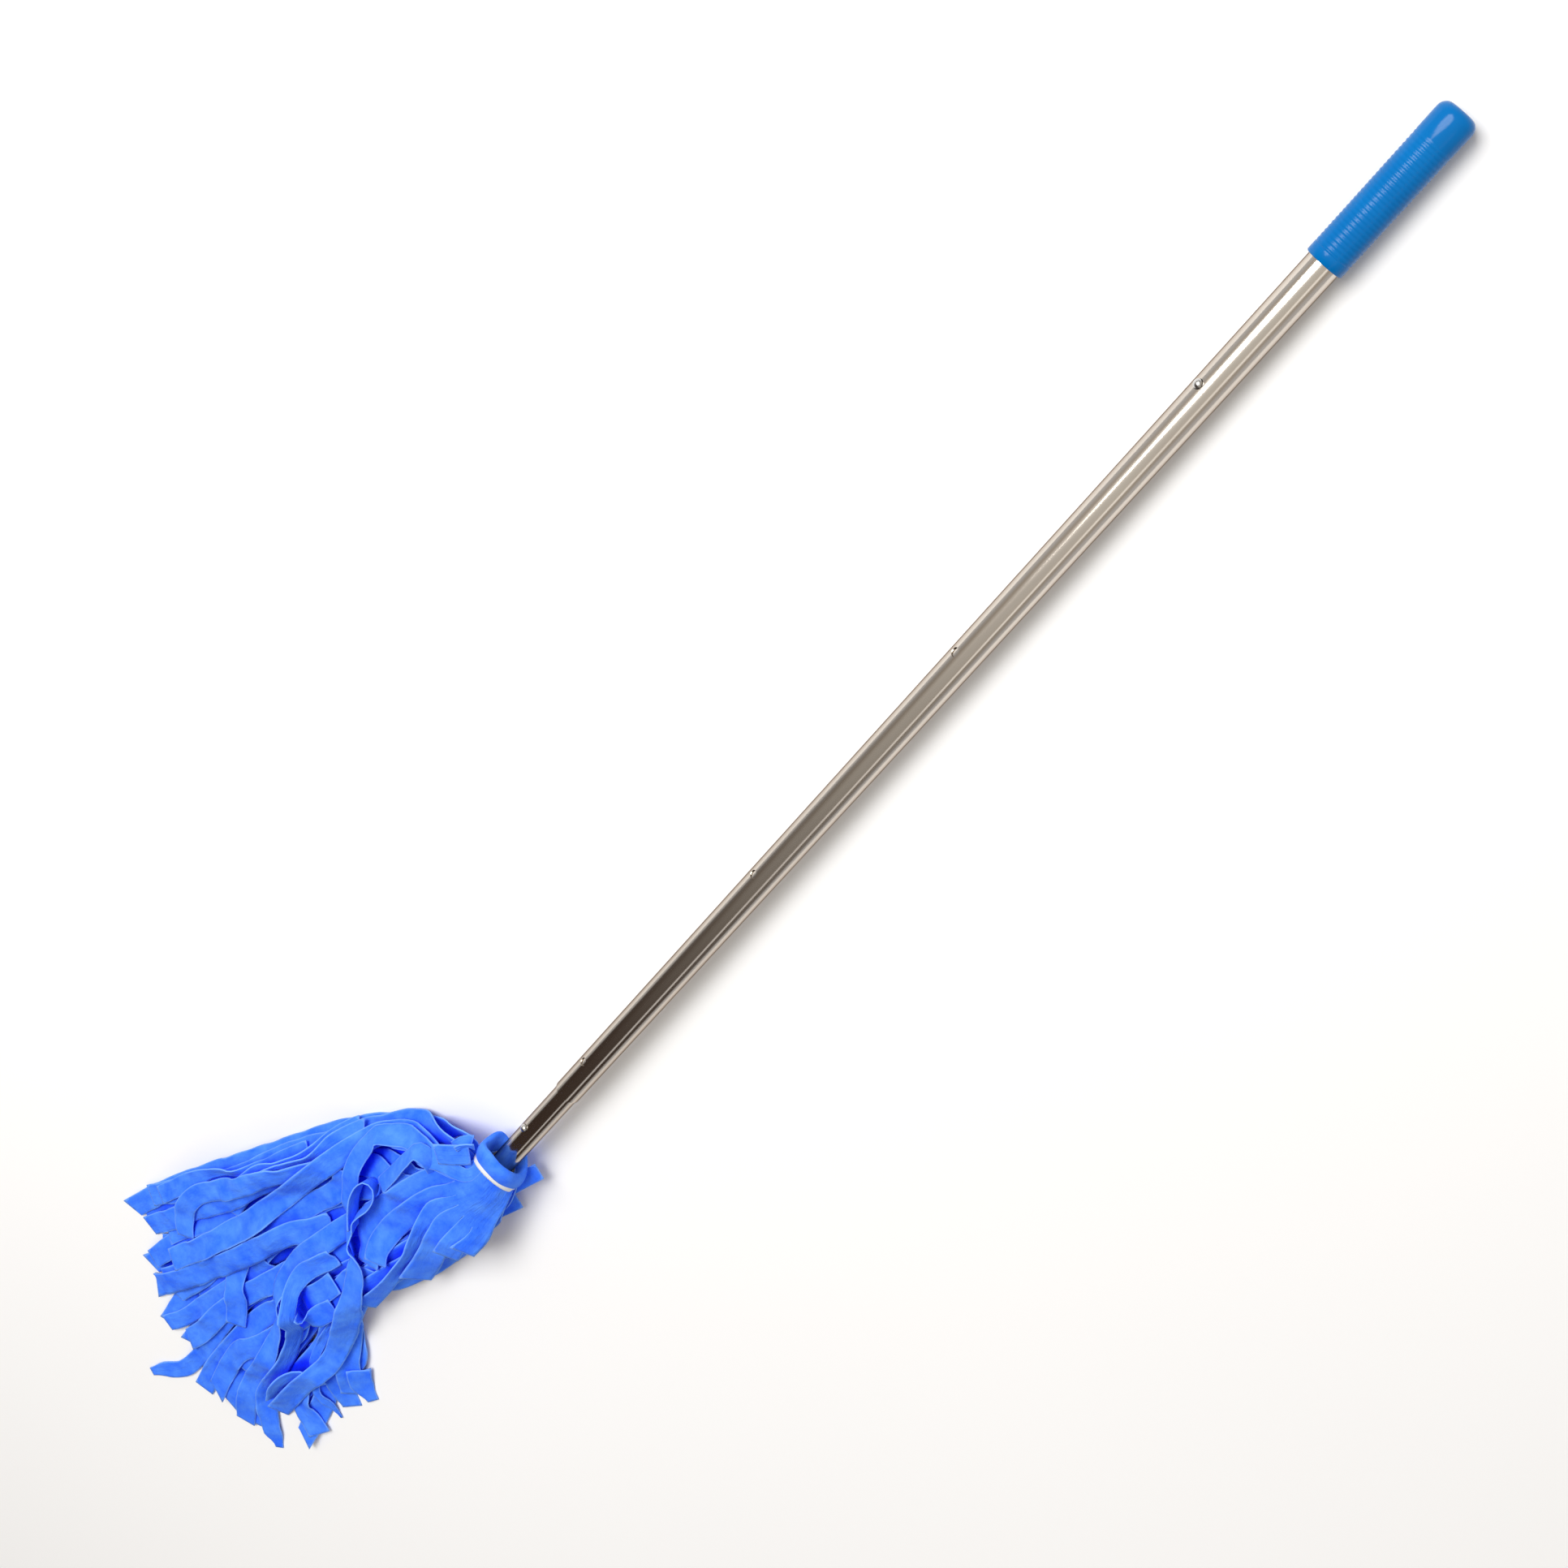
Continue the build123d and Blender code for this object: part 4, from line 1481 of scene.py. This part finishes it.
    def _sheet(self, number: int, strips: list[Strip], laid: list[np.ndarray]) -> None:
        """Make one sheet from its laid strips.

        Args:
            number: the sheet's number from the floor up.
            strips: its strips.
            laid: their points.
        """
        shape = bmesh.new()
        uv = shape.loops.layers.uv.new("strip")
        # How deep each vertex lies among the strips, which the finish paints as shade.
        hollow = shape.verts.layers.float.new(PAINTED_SHADE)
        cut = shape.verts.layers.float.new(CUT)
        for order, rows in enumerate(laid):
            verts = self._strip_mesh(shape, rows, uv, number + self.pattern_pitch * order)
            places = np.array([vert.co for vert in verts])
            for vert, depth in zip(verts, self.pile.crevice_shading(places)):
                vert[hollow] = depth
        bmesh.ops.remove_doubles(shape, verts=shape.verts[:], dist=WELD)
        for vert in shape.verts:
            vert[cut] = float(vert.is_boundary)
        piece = new_piece(f"chamois_sheet_{number}", shape, self.finish)
        thicken(piece, self.layer.thickness)
        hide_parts(f"fringe_sheet_{number}")
        lengths = [self.layer.step * (len(rows) - 1) for rows in laid]
        flat_area = sum(strip.width * length for strip, length in zip(strips, lengths))
        width = sum(strip.width for strip in strips)
        flat_area / width
        sides = (width / MILLIMETRE, flat_area / width / MILLIMETRE)
        log.info("%s: %d strips, flat %.0f x %.0f mm", piece.name, len(strips), *sides)

    def _strip_mesh(
        self, shape: bmesh.types.BMesh, rows: np.ndarray, uv: bmesh.types.BMLayerItem, start: float
    ) -> list[bmesh.types.BMVert]:
        """Bend a flat grid into a laid strip.

        Args:
            shape: the bmesh that takes the strip.
            rows: the strip's points.
            uv: the layer for coordinates across and along the strip.
            start: the coordinate along the strip at its first row.

        Returns:
            The strip's vertices.
        """
        along, across = rows.shape[0] - 1, rows.shape[1] - 1
        half_side = 0.5
        made = bmesh.ops.create_grid(shape, x_segments=along, y_segments=across, size=half_side)
        for vert in made["verts"]:
            row = round((vert.co.x + half_side) * along)
            column = round((vert.co.y + half_side) * across)
            for loop in vert.link_loops:
                loop[uv].uv = (column / across, start + row * self.layer.step)
            vert.co = rows[row, column]
        return made["verts"]


@dataclass(frozen=True)
class Ruffle:
    """A place on the collar's rim that stands higher or further out than the rest.

    Attributes:
        turn: where it is round the tube, from the top towards +Y.
        spread: how wide it is, as an angle.
        rise: how far it stands towards the grip.
        flare: how far it stands out from the tube.
    """

    turn: float
    spread: float
    rise: float
    flare: float


@dataclass(frozen=True)
class Fold:
    """Even folds round the collar.

    Attributes:
        count: how many there are.
        size: how far they stand out.
        start: the angle that they start at.
    """

    count: int
    size: float
    start: float


@dataclass
class Binding:
    """The white tape and the folded collar at the neck."""

    neck: Neck
    tape_finish: bpy.types.Material
    cloth_finish: bpy.types.Material
    turns: int = 96
    lean: float = 0.6
    rim_lean: float = 0.15
    back: float = -0.005
    tape_radius: float = 0.0208
    tape_crown: float = 0.0003
    tape_width: float = 0.0055
    tape_thickness: float = 0.0012
    collar_section: tuple[Pair, ...] = (
        (0.001, 0.0204), (0.004, 0.0219), (0.009, 0.0230), (0.015, 0.0231), (0.0205, 0.0223),
        (0.0240, 0.0210), (0.0252, 0.0197), (0.0246, 0.0185), (0.0205, 0.0172), (0.015, 0.0157),
        (0.009, 0.0141), (0.003, 0.0127), (-0.004, 0.0118),
    )
    collar_wall: float = 0.0016
    collar_depth: float = 0.060
    folds: tuple[Fold, ...] = (Fold(3, 0.0008, 0.4), Fold(5, 0.0005, 1.9))
    fold_start: float = 0.004
    fold_run: float = 0.020
    fold_base: float = 0.3
    fold_lift: float = 1.6
    tight_radius: float = 0.0115
    loose_run: float = 0.008
    ruffles: tuple[Ruffle, ...] = (
        Ruffle(2.1, 0.55, 0.001, 0.000),
        Ruffle(1.2, 0.40, -0.003, 0.004),
        Ruffle(-1.6, 0.90, -0.006, -0.002),
    )
    strip_middle: float = 0.5

    def build(self) -> None:
        """Make the tape and the collar."""
        self._tape()
        self._collar()

    def _ring(self, section: Section) -> bmesh.types.BMesh:
        """Spin a section into a ring whose cloth runs round the tube.

        Args:
            section: distances along the handle, each with its radius.

        Returns:
            The ring, with coordinates across and along its cloth.
        """
        shape = spun(section, self.turns)
        uv = shape.loops.layers.uv.new("ring")
        for face in shape.faces:
            for loop in face.loops:
                turn = math.atan2(loop.vert.co.y, loop.vert.co.z)
                loop[uv].uv = (self.strip_middle, turn * self.tape_radius)
        return shape

    @staticmethod
    def _share(distance: float, run: float) -> float:
        """Give a distance as a share of a run, from 0 to 1."""
        return min(1.0, max(0.0, distance / run))

    def _lean(self, shape: bmesh.types.BMesh) -> None:
        """Lean a ring back towards the grip at its top, less so at the rim, and set it on the neck.

        Args:
            shape: the ring.
        """
        for vert in shape.verts:
            out = self._share(vert.co.x - self.tape_width, self.fold_run)
            vert.co.x += self.back + (self.lean + (self.rim_lean - self.lean) * out) * vert.co.z
            vert.co += self.neck.middle

    def _tape(self) -> None:
        """Make the tape."""
        half = self.tape_width / 2
        crown = self.tape_radius + self.tape_crown
        shape = self._ring(((-half, self.tape_radius), (0.0, crown), (half, self.tape_radius)))
        self._lean(shape)
        piece = new_piece("white_binding_tape", shape, self.tape_finish)
        thicken(piece, self.tape_thickness)
        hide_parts("binding_tape")
        log.info("%s", piece.name)

    def _collar(self) -> None:
        """Make the folded collar."""
        shape = self._ring(self.collar_section)
        for vert in shape.verts:
            turn = math.atan2(vert.co.y, vert.co.z)
            rise = self._share(vert.co.x - self.fold_start, self.fold_run)
            swell = sum(fold.size * math.cos(fold.count * turn + fold.start) for fold in self.folds)
            radius = math.hypot(vert.co.y, vert.co.z)
            loose = min(1.0, (radius - self.tight_radius) / self.loose_run)
            scale = 1.0 + (self.fold_base + rise) * swell / radius * loose
            vert.co.y *= scale
            vert.co.z *= scale
            vert.co.x += rise * self.fold_lift * swell
            for ruffle in self.ruffles:
                away = math.remainder(turn - ruffle.turn, math.tau) / ruffle.spread
                near = rise * math.exp(-(away**2))
                push = (ruffle.rise, ruffle.flare * math.sin(turn), ruffle.flare * math.cos(turn))
                vert.co += near * Vector(push)
        self._lean(shape)
        piece = new_piece("folded_collar", shape, self.cloth_finish)
        thicken(piece, self.collar_wall)
        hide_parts("collar")
        flat = (math.tau * self.tape_radius, self.collar_depth)
        log.info("%s", piece.name)


@dataclass(frozen=True)
class TubeSize:
    """Sizes of one plated tube, with places along the handle from the tape."""

    radius: float
    bore: float
    start: float
    end: float
    holes: tuple[float, ...]


@dataclass
class Handle:
    """The handle: tubes and grip are spun again with more turns, and the other nodes keep their shape."""

    neck: Neck
    finishes: dict[Slot, bpy.types.Material]
    tilt: float = 0.01853
    turns: int = 128
    outer: TubeSize = TubeSize(0.011, 0.0102, 0.1087, 1.0267, (0.1476, 0.3762, 0.6048, 0.8334))
    inner: TubeSize = TubeSize(0.010, 0.0092, 0.0090, 0.8584, (0.0576, 0.8334))
    edge_round: float = 0.0003
    sharp_angle: float = math.radians(35.0)
    hole_radius: float = 0.0034
    hole_sides: int = 40
    hole_angle: float = math.radians(42.0)
    hole_margin: float = 0.007
    grip_radius: float = 0.013
    grip_bore: float = 0.0111
    grip_foot: float = 0.9277
    grip_end: float = 1.0317
    grip_seat: float = 1.0287
    grip_bevel: float = 0.0006
    grip_round: float = 0.006
    round_steps: int = 6
    rib_start: float = 0.007
    rib_pitch: float = 0.0028
    rib_count: int = 27
    rib_depth: float = 0.00026
    rib_ease: float = 0.0008
    rib_floor: float = 0.3
    rib_rise: float = 0.5
    rib_crown: float = 0.8

    def dress(self) -> None:
        """Build the tubes and the grip and give each other node its finish."""
        self._tube(self.outer, "outer_tube", "plated_outer_tube", Body.HANDLE)
        self._tube(self.inner, "inner_tube", "plated_inner_tube", Body.HEAD)
        self._grip()
        nodes = {
            Slot.PLASTIC: ("tube_end_plug", "guide_cap", "head_core"),
            Slot.BUTTON: ("upper_lock_button", "lower_lock_button"),
            Slot.SPRING: ("upper_leaf_spring", "lower_leaf_spring"),
        }
        for slot, names in nodes.items():
            for name in names:
                node = bpy.data.objects[name]
                for place in node.material_slots:
                    place.material = self.finishes[slot]
                log.info("%s: %s", name, self.finishes[slot].name)

    def _set(self, shape: bmesh.types.BMesh) -> None:
        """Move a shape from the X axis to the handle's place in the frame."""
        place = Matrix.Translation(self.neck.middle) @ Matrix.Rotation(self.tilt, 4, "Y")
        bmesh.ops.transform(shape, matrix=place, verts=shape.verts[:])

    def _tube(self, size: TubeSize, node: str, name: str, body: Body) -> None:
        """Make a plated tube with its holes.

        Args:
            size: the tube's sizes.
            node: the node that it replaces.
            name: the piece's name.
            body: the body that it rides on.
        """
        near = [hole + side * self.hole_margin for hole in size.holes for side in (-1, 1)]
        eased = size.radius - self.edge_round
        section = [(size.start, eased), (size.start + self.edge_round, size.radius)]
        section += [(along, size.radius) for along in near]
        section += [(size.end - self.edge_round, size.radius), (size.end, eased)]
        section += [(along, size.bore) for along in (size.end, *reversed(near), size.start)]
        shape = spun(section, self.turns, closed=True)
        self._set(shape)
        cutter = bmesh.new()
        for hole in size.holes:
            place = Matrix.Translation((hole, 0.0, 0.0)) @ Matrix.Rotation(-self.hole_angle, 4, "X")
            place = place @ Matrix.Translation((0.0, 0.0, size.radius))
            bmesh.ops.create_cone(
                cutter, cap_ends=True, segments=self.hole_sides, radius1=self.hole_radius,
                radius2=self.hole_radius, depth=size.radius, matrix=place,
            )
        self._set(cutter)
        piece = new_piece(name, shape, self.finishes[Slot.CHROME], body)
        self._cut(piece, cutter)
        piece.data.set_sharp_from_angle(angle=self.sharp_angle)
        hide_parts(node)
        log.info("%s: %d holes", name, len(size.holes))

    @staticmethod
    def _cut(piece: bpy.types.Object, shape: bmesh.types.BMesh) -> None:
        """Cut a shape out of a piece.

        Args:
            piece: the piece, whose mesh is replaced.
            shape: the shape, which is freed.
        """
        mesh = bpy.data.meshes.new("cutter")
        shape.to_mesh(mesh)
        shape.free()
        cutter = bpy.data.objects.new("cutter", mesh)
        bpy.context.scene.collection.objects.link(cutter)
        cut = piece.modifiers.new("cut", "BOOLEAN")
        cut.operation = "DIFFERENCE"
        cut.object = cutter
        graph = bpy.context.evaluated_depsgraph_get()
        whole = piece.data
        piece.data = bpy.data.meshes.new_from_object(piece.evaluated_get(graph))
        piece.modifiers.clear()
        bpy.data.objects.remove(cutter)
        bpy.data.meshes.remove(mesh)
        bpy.data.meshes.remove(whole)

    def _grip(self) -> None:
        """Make the grip: a sleeve with ring ribs and a closed round end."""
        top = self.grip_radius
        root = top - self.rib_depth
        first = self.grip_foot + self.rib_start
        section = [
            (self.grip_seat, 0.0),
            (self.grip_seat, self.grip_bore),
            (self.grip_foot, self.grip_bore),
            (self.grip_foot, top - self.grip_bevel),
            (self.grip_foot + self.grip_bevel, top),
            (first - self.rib_ease, top),
            (first, top),
        ]
        for rib in range(self.rib_count):
            foot = first + rib * self.rib_pitch
            section += [
                (foot, root),
                (foot + self.rib_floor * self.rib_pitch, root),
                (foot + self.rib_rise * self.rib_pitch, top),
                (foot + self.rib_crown * self.rib_pitch, top),
            ]
        last = first + self.rib_count * self.rib_pitch
        section += [(last, root), (last + self.rib_ease, top)]
        centre = self.grip_end - self.grip_round
        for step in range(self.round_steps + 1):
            turn = 0.5 * math.pi * step / self.round_steps
            radius = top - self.grip_round + self.grip_round * math.cos(turn)
            section.append((centre + self.grip_round * math.sin(turn), radius))
        section.append((self.grip_end, 0.0))
        shape = spun(section, self.turns)
        self._set(shape)
        piece = new_piece("vinyl_grip", shape, self.finishes[Slot.VINYL], Body.HANDLE)
        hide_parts("grip")
        log.info("%s: %d ribs", piece.name, self.rib_count)


def main() -> None:
    """Build the scene."""
    logging.basicConfig(level=logging.INFO, format="%(message)s")
    finishes = {
        Slot.CHROME: ChromePlate().material(),
        Slot.VINYL: DippedVinyl().material(),
        Slot.CHAMOIS: ChamoisNap().material(),
        Slot.TAPE: WovenTape().material(),
        Slot.PLASTIC: MouldedPlastic().material(),
        Slot.BUTTON: Steel("polished_button", (0.72, 0.71, 0.69), polish=0.16).material(),
        Slot.SPRING: Steel("blued_spring", (0.45, 0.45, 0.46), polish=0.28).material(),
    }
    neck = Neck()
    camera = PhotoCamera(neck)
    camera.build()
    Studio().build()
    Handle(neck, finishes).dress()
    Head(neck, camera, finishes[Slot.CHAMOIS]).build()
    Binding(neck, finishes[Slot.TAPE], finishes[Slot.CHAMOIS]).build()


if __name__ == "__main__":
    main()
